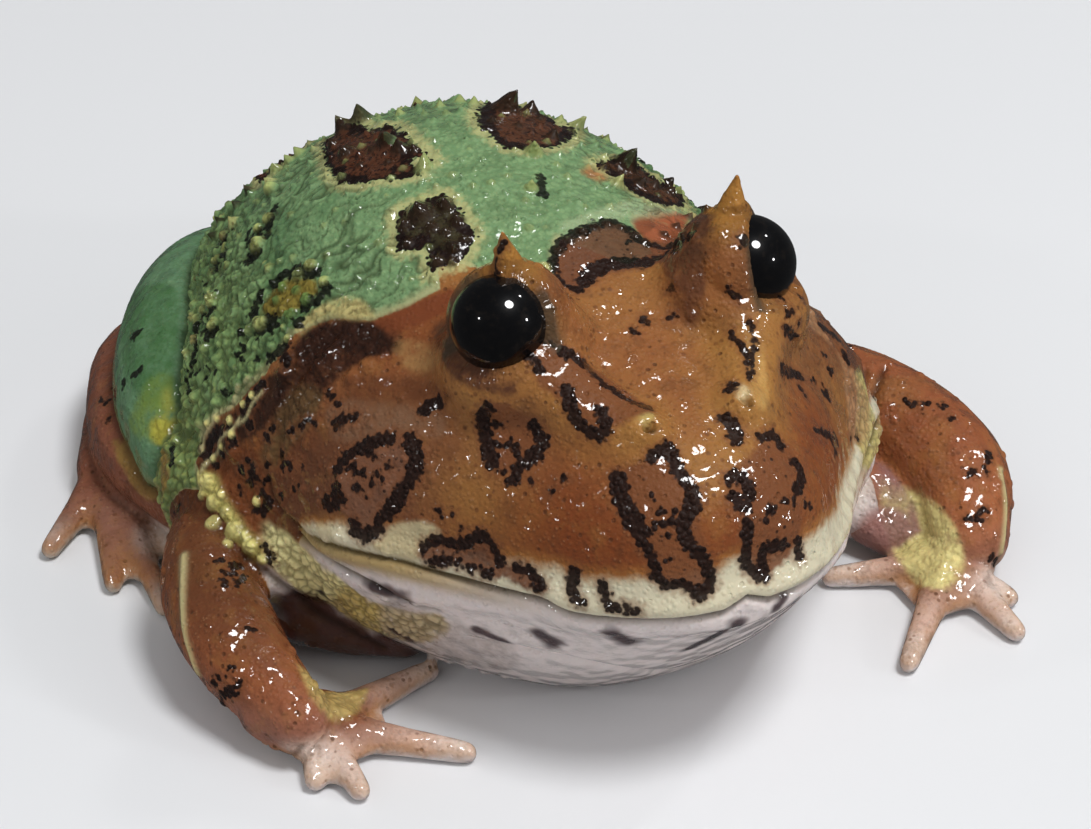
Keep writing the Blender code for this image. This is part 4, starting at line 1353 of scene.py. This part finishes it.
# Soft patches of the head: pixel, radius in mm and weight
HEAD_PATCHES = {
    RUST: (((560, 535), 5.5, 0.75), ((450, 330), 4.0, 0.6), ((400, 340), 3.5, 0.6)),
    MAUVE: (((400, 470), 5.5, 0.8), ((330, 480), 4.5, 0.85), ((300, 520), 3.0, 0.8), ((500, 445), 3.0, 0.55)),
    OCHRE: (
        ((470, 400), 2.6, 0.35), ((640, 425), 2.6, 0.6), ((762, 350), 3.0, 0.7), ((748, 395), 2.0, 0.6),
        ((700, 470), 2.2, 0.5), ((600, 300), 3.0, 0.4), ((840, 400), 3.0, 0.5),
    ),
}


def brown_layer():
    """The head, the arms and what else is brown or pink."""
    x, y, z = skin.base.T
    drift = waves(0.16, 1)
    layer = np.ones((skin.count, 3)) * TAN
    shade(layer, OCHRE, 0.55 * smooth_step(drift, 0.45, 0.75))
    shade(layer, RUST, smooth_step(-(high_above_mouth - 9.5), -1.5, 5.0) * (0.45 + 0.5 * (1 - drift)))
    for colour, rows in HEAD_PATCHES.items():
        for pixel, radius, weight in rows:
            shade(layer, colour, weight * around(pixel, radius))
    behind = smooth_step(y, -11, -5) * smooth_step(-z, -24, -18)
    shade(layer, DEEP_BROWN, 0.5 * behind * smooth_step(waves(0.35, 2), 0.35, 0.65))
    for eye in EYES.values():
        away = np.linalg.norm(skin.base - np.array(eye["centre"]) - (0, 1.0, 4.0), axis=1)
        shade(layer, HORN_OCHRE, 0.95 * smooth_step(-away, -4.3, -2.2))
    # Painted shade round the bases of the eyes
    shade(layer, DEEP_BROWN, 0.4 * hill(lid_rims, 1.5))
    shade(layer, ARM, arm_share)
    shade(layer, OCHRE, arm_share * 0.3 * smooth_step(waves(0.3, 4), 0.5, 0.8))
    shade(layer, DEEP_BROWN, arm_share * 0.75 * smooth_step(z, 5.0, 8.5) * (x < 0))
    shade(layer, ORANGE, arm_share * 0.55 * (x > 0) * smooth_step(-z, -9.0, -5.0))
    hands = np.clip(arm_share + hand_share, 0, 1)
    feet = np.clip(shank_share + foot_share, 0, 1)
    shade(layer, ARM_PINK, arm_share * smooth_step(-z, -6.0, -2.0) * 0.75)
    shade(layer, SHANK, feet)
    for name, (root, *tips) in DIGITS.items():
        share = hands if name.startswith("hand") else feet
        for tip in tips:
            reach = np.linalg.norm(np.array(tip) - np.array(root))
            away = np.linalg.norm(skin.base[:, :2] - np.array(tip), axis=1)
            pink = smooth_step(-away, -0.8 * reach, -0.3 * reach) * smooth_step(-z, -3.6, -2.0)
            shade(layer, PINK if name.startswith("hand") else FOOT_PINK, share * pink)
            shade(layer, TIP_PINK, share * 0.8 * smooth_step(-away, -3.4, -0.4) * smooth_step(-z, -3.0, -2.0))
    return layer


def green_layer():
    """The back, the flanks and the thighs."""
    x, y, z = skin.base.T
    layer = np.ones((skin.count, 3)) * MINT
    round_it = np.abs(degrees_round(skin.base))
    shade(layer, MINT_DEEP, 0.75 * smooth_step(waves(0.22, 6), 0.5, 0.8) * smooth_step(round_it, 10, 50))
    shade(layer, MOSS, 0.8 * smooth_step(round_it, 38, 66))
    shade(layer, MINT_DEEP, 0.5 * smooth_step(waves(0.5, 31), 0.5, 0.7) * smooth_step(round_it, 20, 60))
    shade(layer, LEAF_YELLOW, 0.55 * smooth_step(round_it, 70, 92))
    shade(layer, JAW_YELLOW, 0.85 * smooth_step(-z, -7.5, -3.0))
    shade(layer, LEAF, thigh_share)
    shade(layer, LEAF_YELLOW, thigh_share * smooth_step(-z, -7.2, -4.4) * 0.9)
    shade(layer, SHANK, thigh_share * smooth_step(-z, -4.6, -3.2) * 0.8)
    return layer


def pale_layer():
    """The lips, the throat and the belly."""
    x, y, z = skin.base.T
    layer = np.ones((skin.count, 3)) * THROAT
    shade(layer, LIP_CREAM, smooth_step(high_above_mouth, -0.1, 0.15))
    lower_lip = smooth_step(high_above_mouth, -1.9, -0.5) * (high_above_mouth < 0.1)
    shade(layer, LIP_OLIVE, 0.9 * lower_lip * smooth_step(y, -26, -14))
    shade(layer, JAW_YELLOW, 0.85 * smooth_step(y, -12, -6) * smooth_step(waves(0.4, 8), 0.3, 0.6))
    shade(layer, BELLY, smooth_step(y, -3, 4))
    return layer


# The pale band of the upper lip: y, height over the mouth
LIP_BAND = (
    (-32.0, 3.0), (-27.0, 2.9), (-24.0, 2.3), (-19.0, 1.5), (-15.0, 1.4), (-12.0, 1.9), (-9.0, 1.3),
    (MOUTH_CORNER_Y, 0.3),
)


def pale_field():
    """More than 0 where the skin is pale: the lip's band, the throat, and the lowest part of the trunk."""
    x, y, z = skin.base.T
    band = np.interp(y, *zip(*LIP_BAND)) - high_above_mouth
    head_part = np.where(y < MOUTH_CORNER_Y, band, -2.0 + smooth_step(-y, -1.0, 6.4) * 2.4 - (z - 7.5) * 0.5)
    trunk_part = 3.6 - z
    field = np.where(y < 0.5, np.maximum(head_part, trunk_part), trunk_part)
    field = skin.softened(field, 4)
    limbs = np.clip(arm_share + thigh_share + shank_share + hand_share + foot_share, 0, 1)
    return field * (1 - limbs) + limbs * (0.6 - z)


def patch_fields():
    """The soft patches of colour, painted shade among them, as one tint for each point, and how cobbled the
    skin is.
    """
    global tints
    tints = np.zeros((skin.count, 4))
    cobbles = np.zeros(skin.count)
    for pixels, colour, weight, rough in PATCHES:
        line = mark_line(pixels)
        for outline in (line, other_side(line)):
            if outline is not line and not mostly_hidden(outline):
                continue
            field = np.full(skin.count, -FAR)
            add_mark(field, np.zeros((skin.count, 4)), outline, colour)
            inside = smooth_step(field, -0.5, 0.5)
            tint_all(colour, inside * weight)
            cobbles = np.maximum(cobbles, inside * rough)
    return tints.copy(), cobbles


def shape_fringes():
    """Raises the pale fringes of the forearms and the ridges behind the mouth."""
    for width, height, pixels in FRINGES:
        away = distance_to_line(skin.base, cast_line(pixels))
        skin.at += skin.base_normal * (height * hill(away, width * 0.8))[:, None]
        tint_all(FRINGE_CREAM, 0.85 * hill(away, width))


def tint_chest():
    """Colours the flesh beside each hand, below the jaw: painted shade, a dark red-brown, on the right, and
    mauve pink on the left.
    """
    from_limbs = np.min([part_distance[name] for name in PARTS if name != "core"], axis=0)
    free = smooth_step(from_limbs, 0.2, 0.6) * smooth_step(-np.abs(skin.base[:, 0]), -23.4, -21.9)
    for balls, colour, under in zip(CHEST, CHEST_SHADE_AND_PINK, (-3.0, -1.6)):
        away = np.min([np.linalg.norm(skin.base - ball[:3], axis=1) - ball[3] for ball in balls], axis=0)
        inside = smooth_step(-away, -1.6, -0.5) * free * (high_above_mouth < under)
        tint_all(colour, 0.94 * inside)


def tint_throat():
    """The soft dark spots of the throat, on both sides."""
    uneven = 0.55 + 0.9 * waves(0.9, 21)
    for pixels, radius in THROAT_SPOTS:
        for line in strokes(pixels, both=True):
            away = distance_to_line(skin.base, line) * PIXELS_PER_MM / radius * uneven
            tint_all(THROAT_SPOT, 0.92 * smooth_step(-away, -1.8, -0.5))


def tint_rims():
    """Darkens the nostrils and the rims of the lids, the upper rims less than the lower ones: the nostril
    pits get painted shade, and the lower rims a dark lid edge with painted shade.
    """
    for pit in pits:
        # Painted shade: the nostril pits turn near black
        tint_all(NEAR_BLACK, hill(np.linalg.norm(skin.base - pit, axis=1), PIT_WIDTH))
    below_horns = smooth_step(-skin.base[:, 2], -30.9, -30.3)
    on_rims = hill(lid_rims, 0.26) * (lid_rims < FAR / 2) * below_horns
    heights = []
    for eye in EYES.values():
        up = unit((-0.6 * eye["axis"][0], -0.1, 0.8))
        heights.append(smooth_step((skin.base - eye["centre"]) @ up, 0.6, 2.2))
    upper = np.max(heights, axis=0)
    # The lower rims: dark lid edge and painted shade
    tint_all(RIM_EDGE_AND_SHADE, 0.9 * on_rims * (1 - upper))
    tint_all(RIM_OLIVE, 0.8 * on_rims * upper)


# The material

class Nodes:
    """Short calls for the nodes of a material; scales are features per millimetre."""

    def __init__(self, name):
        self.material = bpy.data.materials.new(name)
        self.material.use_nodes = True
        self.tree = self.material.node_tree
        self.place = self.add("ShaderNodeTexCoord", {}, "Object")

    def link(self, value, socket):
        if isinstance(value, bpy.types.NodeSocket):
            self.tree.links.new(value, socket)
        elif socket.type == "RGBA" and len(value) == 3:
            socket.default_value = (*value, 1)
        else:
            socket.default_value = value

    def add(self, kind, inputs, output, **settings):
        """Adds a node, sets or links its inputs, and gives one of its outputs."""
        node = self.tree.nodes.new(kind)
        for key, value in settings.items():
            setattr(node, key, value)
        for key, value in inputs.items():
            self.link(value, node.inputs[key])
        return node.outputs[output]

    def surface(self, values):
        """Sets or links the inputs of the surface, and gives the finished material."""
        inputs = self.tree.nodes["Principled BSDF"].inputs
        for key, value in values.items():
            self.link(value, inputs[key])
        return self.material

    def plus(self, a, b):
        return self.add("ShaderNodeMath", {0: a, 1: b}, 0, operation="ADD")

    def times(self, a, b):
        return self.add("ShaderNodeMath", {0: a, 1: b}, 0, operation="MULTIPLY")

    def attribute(self, name, output="Fac"):
        return self.add("ShaderNodeAttribute", {}, output, attribute_name=name)

    def step(self, value, low, high):
        """0 below low and 1 above high; low may be the larger."""
        falls = float(low > high)
        ends = {"From Min": min(low, high), "From Max": max(low, high), "To Min": falls, "To Max": 1 - falls}
        inputs = {"Value": value, **ends}
        return self.add("ShaderNodeMapRange", inputs, "Result", interpolation_type="SMOOTHSTEP")

    def mix(self, factor, a, b, blend="MIX"):
        return self.add("ShaderNodeMix", {0: factor, 6: a, 7: b}, 2, data_type="RGBA", blend_type=blend)

    def layered(self, colour, *rows):
        """Lays colours one over another, each with its mask and weight."""
        for mask, weight, over in rows:
            colour = self.mix(mask if weight == 1 else self.times(mask, weight), colour, over)
        return colour

    def noise(self, scale, detail=2.0, roughness=0.5):
        inputs = {"Vector": self.place, "Scale": scale / MM, "Detail": detail, "Roughness": roughness}
        return self.add("ShaderNodeTexNoise", inputs, "Fac")

    def cells(self, scale):
        return self.add("ShaderNodeTexVoronoi", {"Vector": self.place, "Scale": scale / MM}, "Distance")

    def bump(self, height, distance, before=None):
        inputs = {"Strength": 1.0, "Distance": distance * MM, "Height": height}
        if before is not None:
            inputs["Normal"] = before
        return self.add("ShaderNodeBump", inputs, "Normal")


NEAR_BLACK = (0.014, 0.006, 0.0045)
GREEN_BLACK = (0.008, 0.009, 0.005)
GRANULE_TAN = (0.46, 0.24, 0.11)
FRECKLE_BROWN = (0.12, 0.038, 0.013)
MINT_PALE = (0.26, 0.40, 0.21)
LIP_ORANGE = (0.46, 0.205, 0.048)
HALO = (0.50, 0.48, 0.21)
BORDER_CREAM = (0.48, 0.44, 0.22)
GAP_SHADE = (0.13, 0.11, 0.06)


def skin_material():
    m = Nodes("frog skin")
    wobble = m.plus(m.noise(0.8, 3.0), -0.5)
    fine = m.plus(m.noise(2.4, 2.0), -0.5)
    grain = m.noise(3.2, 3.0, 0.6)
    mottle = m.noise(0.55, 4.0, 0.65)
    cell = m.cells(2.3)
    beads = m.plus(m.times(cell, -1.0), 0.4)
    ragged = m.plus(m.times(wobble, 0.9), m.times(fine, 0.55))

    def edged(name, amount=1.0):
        return m.plus(m.attribute(name), m.times(ragged, amount))

    # Ground colours, each varied by noise
    freckles = m.times(m.step(m.cells(1.25), 0.28, 0.12), m.step(m.noise(0.3, 2.0), 0.4, 0.55))
    # Small pits, darkened with painted shade
    shaded_pores = m.times(m.step(m.cells(1.15), 0.22, 0.09), m.step(mottle, 0.42, 0.55))
    granules = m.times(m.step(m.cells(2.6), 0.3, 0.12), m.step(wobble, -0.1, 0.1))
    brown = m.layered(
        m.attribute("brown", "Color"),
        (m.step(mottle, 0.5, 0.72), 0.22, OCHRE),
        (m.step(mottle, 0.5, 0.3), 0.4, DEEP_BROWN),
        (freckles, 0.6, FRECKLE_BROWN),
        (m.step(grain, 0.52, 0.72), 0.22, DEEP_BROWN),
        (shaded_pores, 0.75, DEEP_BROWN),
        (granules, 0.3, GRANULE_TAN),
    )
    green = m.layered(
        m.attribute("green", "Color"),
        (m.step(m.cells(2.1), 0.3, 0.6), 0.4, MINT_DEEP),
        (m.step(mottle, 0.52, 0.75), 0.35, MINT_PALE),
        (m.step(grain, 0.55, 0.75), 0.35, MINT_DEEP),
    )
    behind = edged("back", 0.7)
    is_green = m.step(behind, -0.05, 0.1)
    is_brown = m.plus(m.times(is_green, -1.0), 1.0)
    pale = edged("pale")
    patched = m.times(m.attribute("patch", "Alpha"), m.plus(m.times(ragged, 1.6), 1.0))
    ground = m.layered(
        m.mix(is_green, brown, green),
        (m.times(m.step(behind, -0.15, 0.15), m.step(behind, 1.1, 0.2)), 0.7, BORDER_CREAM),
        (m.times(m.step(pale, -1.5, -0.1), is_brown), 0.6, LIP_ORANGE),
        (m.step(pale, -0.7, 0.4), 1, m.attribute("cream", "Color")),
        (m.step(patched, 0.08, 0.85), 1, m.attribute("patch", "Color")),
    )

    # Marks of the head and flanks have a darker ground with a soft edge and black dots. Marks of the back
    # have a cream ring, a black beaded rim of uneven width and a fill with specks
    mark = edged("mark", 0.7)
    dots = m.times(m.step(m.cells(1.5), 0.26, 0.14), m.step(wobble, -0.05, 0.1))
    blotch = m.plus(edged("blotch", 0.5), m.times(beads, 0.7))
    ring = m.times(m.step(blotch, -1.15, -0.3), m.step(blotch, 0.0, -0.15))
    uneven = m.plus(blotch, m.times(m.step(m.noise(0.5, 2.0), 0.42, 0.62), -0.9))
    specks = m.times(m.step(blotch, 0.1, 0.4), m.step(grain, 0.52, 0.6))
    ink = m.plus(m.attribute("ink"), m.plus(m.times(ragged, 0.55), m.times(beads, 0.45)))
    inked = m.step(ink, -0.2, -0.02)
    colour = m.layered(
        ground,
        (m.step(mark, -0.25, 0.3), 0.93, m.attribute("mark_fill", "Color")),
        (m.times(m.step(mark, 0.0, 0.3), dots), 0.85, NEAR_BLACK),
        (ring, 0.8, HALO),
        (m.step(blotch, -0.12, 0.02), 1, NEAR_BLACK),
        (m.step(uneven, 0.1, 0.5), 1, m.attribute("back_fill", "Color")),
        (specks, 0.85, NEAR_BLACK),
        (m.times(m.step(ink, -0.62, -0.12), is_brown), 0.55, HEAD_FILL),
        (inked, 0.96, m.mix(is_green, NEAR_BLACK, GREEN_BLACK)),
        (m.attribute("tint", "Alpha"), 1, m.attribute("tint", "Color")),
    )

    # Relief under the wet film, and the finer one of the film itself
    small = m.plus(m.step(m.cells(2.6), 0.6, 0.05), m.times(shaded_pores, -1.6))
    normal = m.bump(small, 0.05, m.bump(m.times(m.step(cell, 0.6, 0.1), inked), 0.14))
    rough = m.plus(m.times(m.step(pale, 0.6, -0.2), 0.7), 0.3)
    return m.surface({
        # Painted shade in creases, seams and hollows darkens the colour
        "Base Color": m.mix(m.attribute("crease"), colour, GAP_SHADE, "MULTIPLY"),
        "Normal": m.bump(m.times(m.noise(4.0, 3.0, 0.6), rough), 0.05, normal),
        "Coat Normal": m.bump(m.cells(2.6), 0.022, m.bump(m.noise(0.8, 0.0), 0.6)),
        "Roughness": m.plus(m.times(grain, 0.25), 0.36),
        "Subsurface Weight": 0.1, "Subsurface Radius": (1.0, 0.4, 0.25), "Subsurface Scale": 0.6 * MM,
        "Coat Weight": 1.0, "Coat Roughness": 0.06, "Specular IOR Level": 0.15,
    })


def eye_material():
    """Black all through, under a thin clear film: its highlights are small and its reflections faint."""
    m = Nodes("wet black eye")
    streaks = m.step(m.noise(1.6, 4.0, 0.7), 0.5, 0.8)
    return m.surface({
        "Base Color": m.mix(streaks, (0.002, 0.002, 0.0025), (0.012, 0.009, 0.007)),
        "Coat Normal": m.bump(m.noise(0.25, 1.0), 0.02),
        "Roughness": 0.35, "Specular IOR Level": 0.06, "Coat Weight": 1.0, "Coat Roughness": 0.03,
        "Coat IOR": 1.6,
    })


BAKE_GAP = 0.4


def put_fields(mesh, fields, colours):
    for name, values in fields.items():
        layer = mesh.attributes.new(name, "FLOAT", "POINT")
        layer.data.foreach_set("value", np.asarray(values, np.float32))
    for name, values in colours.items():
        if values.shape[1] == 3:
            values = np.hstack([values, np.ones((len(values), 1))])
        layer = mesh.attributes.new(name, "FLOAT_COLOR", "POINT")
        layer.data.foreach_set("color", np.asarray(values, np.float32).ravel())


def bake_map():
    """Lays the skin out flat, one piece for each part of the body, side and way that it faces, in rows."""
    mesh = skin.thing.data
    corners = values_of(mesh.loops, "vertex_index", kind=int)
    sizes = values_of(mesh.polygons, "loop_total", kind=int)
    normals = values_of(mesh.polygons, "normal", 3)
    facing = np.argmax(np.abs(normals), axis=1)
    backwards = normals[np.arange(len(normals)), facing] < 0
    owner = np.argmin([part_distance[name] for name in PARTS], axis=0)
    first = corners[np.cumsum(sizes) - sizes]
    label = ((owner[first] * 3 + facing) * 2 + backwards) * 2 + (skin.at[first, 0] > 0)
    label, facing = np.repeat(label, sizes), np.repeat(facing, sizes)
    points = skin.at[corners]
    flat = np.where((facing == 0)[:, None], points[:, 1:], points[:, :2])
    flat = np.where((facing == 1)[:, None], points[:, ::2], flat)
    pieces = []
    for kind in np.unique(label):
        which = np.nonzero(label == kind)[0]
        low = flat[which].min(0)
        pieces.append((which, low, flat[which].max(0) - low + BAKE_GAP))
    pieces.sort(key=lambda piece: -piece[2][1])
    width = 1.2 * math.sqrt(sum(size[0] * size[1] for which, low, size in pieces))
    x = y = row = 0.0
    for which, low, size in pieces:
        if x + size[0] > width:
            x, y, row = 0.0, y + row, 0.0
        flat[which] += np.array((x, y)) - low + BAKE_GAP / 2
        x += size[0]
        row = max(row, size[1])
    layer = mesh.uv_layers.new(name="OFBake")
    layer.data.foreach_set("uv", (flat / max(width, y + row)).astype(np.float32).ravel())


# Build

SMOOTH_ROUNDS = 48
SMOOTH_STRENGTH = 0.6
LIMBS_KEEP = 0.75  # how much of their form the limbs and the horn tips keep in the smoothing
HORNS_KEEP = 0.97
HORN_HEIGHT = (30.4, 31.4)
SEAM_WIDTH = 0.55
SEAM_DEPTH = 0.25
THIGH_CREASE = 0.3
SEAM_SHADE = 0.6

skin = Skin(skin_object())
part_distance = distances_to_parts()
group = body_groups()
core_share = share_of("core")
arm_share, hand_share, thigh_share, shank_share, foot_share = [share_of(limb) for limb in LIMBS]
limb_share = np.clip(arm_share + hand_share + foot_share + shank_share, 0, 1)
horn_top = smooth_step(skin.at[:, 2], *HORN_HEIGHT)
skin.relax(SMOOTH_ROUNDS, SMOOTH_STRENGTH * (1 - LIMBS_KEEP * limb_share) * (1 - HORNS_KEEP * horn_top))
skin.write()
skin.push(np.full(skin.count, -SHRINK))
skin.search_trees()

skin.base = skin.at.copy()
skin.base_normal = skin.normal.copy()
turn_round = np.abs(degrees_round(skin.at))
back_distance = border_field()
high_above_mouth = above_mouth()
lid_distance = lid_places()
patch_tints, cobbled = patch_fields()
scaly = np.clip(smooth_step(turn_round, 32, 55) * (back_distance > 0) * core_share, 0, 1) * (1 - cobbled)
mouth_fade = shape_mouth()
painted_crease_shade = shape_creases()
ordered = np.sort(np.array([part_distance[name] for name in PARTS]), axis=0)
seams = hill(ordered[1], SEAM_WIDTH) * (ordered[1] < FAR / 2)
same_limb = np.maximum(np.minimum(arm_share, hand_share), np.minimum(shank_share, foot_share))
seams *= 1 - np.clip(4 * same_limb, 0, 1)
beside_thigh = seams * np.clip(4 * thigh_share * (1 - thigh_share), 0, 1)
skin.push(-SEAM_DEPTH * seams - THIGH_CREASE * beside_thigh)
painted_gap_shade = shape_relief()
skin.base = skin.at.copy()
skin.base_normal = skin.normal.copy()
skin.lift = np.zeros(skin.count)
tints = np.zeros((skin.count, 4))
pits = []
shape_nostrils()
shape_warts()
shape_limb_grains()
shape_fringes()
lid_rims = shape_lids()

blotch, back_fills, mark, mark_fills = mark_fields()
tint_chest()
tint_throat()
tint_rims()
# Painted shade along the mouth's groove
painted_mouth_shade = 0.9 * hill(high_above_mouth + 0.03, 0.17) * mouth_fade
behind_border = back_distance * (1 - limb_share) - 3 * limb_share
behind_border = np.where(thigh_share > 0.5, 3.0, behind_border)
# Painted shade in the seams between parts and in the crease beside the thigh
painted_seam_shade = SEAM_SHADE * seams + THIGH_CREASE * beside_thigh
# All painted shade: in creases, the mouth's groove, seams between parts, and between scales, cobbles and
# folds
dark = np.max((painted_crease_shade, painted_mouth_shade, painted_seam_shade, painted_gap_shade), axis=0)
fields = {
    "back": behind_border,
    "pale": pale_field(),
    "blotch": blotch,
    "mark": mark,
    "ink": ink_field(),
    "crease": np.clip(dark, 0, 1),
}
colours = {
    "brown": brown_layer(), "green": green_layer(), "cream": pale_layer(), "patch": patch_tints,
    "back_fill": back_fills, "mark_fill": mark_fills, "tint": tints,
}
put_fields(skin.thing.data, fields, colours)
bake_map()

low, high = to_frog(CAD_LOW), to_frog(CAD_HIGH)
skin.at = np.clip(skin.at, low, high)
skin.write()
row_points = to_row(skin.at)
skin.thing.data.vertices.foreach_set("co", row_points.ravel())
skin.thing.data.update()
skin.thing.data.shade_smooth()
skin.thing.data.materials.clear()
skin.thing.data.materials.append(skin_material())
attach(skin.thing, "root")
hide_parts(*FLESH)

wet_black = eye_material()
for tag, eye in EYES.items():
    mesh = bpy.data.meshes.new("eyeball_" + tag)
    made = bmesh.new()
    bmesh.ops.create_uvsphere(made, u_segments=64, v_segments=40, radius=EYE_RADIUS * MM)
    made.to_mesh(mesh)
    made.free()
    mesh.shade_smooth()
    mesh.materials.append(wet_black)
    ball = put_in_scene("eyeball_" + tag, mesh)
    ball.location = to_row(eye["centre"])
    ball.rotation_euler = Vector(eye["axis"]).to_track_quat("Z", "Y").to_euler()
    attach(ball, "root")
    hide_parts("eye_" + tag)


# Floor, light and camera

FLOOR_HALF = 3000.0
FLOOR_GREY = (0.80, 0.81, 0.83)
SKY = (0.95, 0.97, 1.0, 1)
SKY_STRENGTH = 0.05
LIGHTS_FACE = (0, 0, 15)  # the place that every light faces


def floor():
    mesh = bpy.data.meshes.new("floor")
    corners = [(x * FLOOR_HALF * MM, y * FLOOR_HALF * MM, 0) for x, y in ((-1, -1), (1, -1), (1, 1), (-1, 1))]
    mesh.from_pydata(corners, [], [(0, 1, 2, 3)])
    mesh.materials.append(Nodes("pale floor").surface({"Base Color": FLOOR_GREY, "Roughness": 0.35}))
    thing = put_in_scene("floor", mesh)
    thing.visible_glossy = False


def area_light(name, direction, distance, size, power, glossy=True):
    """A round light that faces the frog; direction is from the frog, distance and size are millimetres."""
    data = bpy.data.lights.new(name, "AREA")
    data.energy = power
    data.shape = "DISK"
    data.size = size * MM
    lamp = put_in_scene(name, data)
    lamp.visible_glossy = glossy
    lamp.location = to_row(np.array(LIGHTS_FACE) + unit(direction) * distance)
    lamp.rotation_euler = Vector(unit(direction)).to_track_quat("Z", "Y").to_euler()


def studio():
    world = bpy.data.worlds.new("studio")
    bpy.context.scene.world = world
    world.use_nodes = True
    sky = world.node_tree.nodes["Background"]
    sky.inputs["Color"].default_value = SKY
    sky.inputs["Strength"].default_value = SKY_STRENGTH
    area_light("lamp", (0.2, -0.3, 0.93), 700, 220, 3.1)
    area_light("left lamp", (0.65, 0.05, 0.76), 700, 45, 0.3)
    area_light("side lamp", (0.66, -0.66, 0.38), 600, 45, 0.3)
    area_light("right lamp", (-0.85, -0.1, 0.52), 700, 40, 0.2)
    area_light("soft top", (-0.1, 0.05, 1.0), 800, 1600, 2.25, glossy=False)
    for x in (-1, 1):
        for y in (-1, 1):
            area_light("fill", (x, y, 0.65), 1000, 800, 1.0 if y > 0 else 1.5, glossy=False)
    bpy.context.scene.view_settings.view_transform = "Standard"


def camera():
    data = bpy.data.cameras.new("camera")
    data.lens = FOCAL_PIXELS * SENSOR / PHOTO[0]
    data.sensor_width = SENSOR
    data.clip_start = 0.005
    thing = put_in_scene("camera", data)
    turn = Matrix((RIGHT, UP, BACK)).transposed()
    thing.matrix_world = Matrix.Translation(to_row(CAMERA)) @ turn.to_4x4()
    bpy.context.scene.camera = thing


floor()
studio()
camera()

bpy.context.view_layer.update()
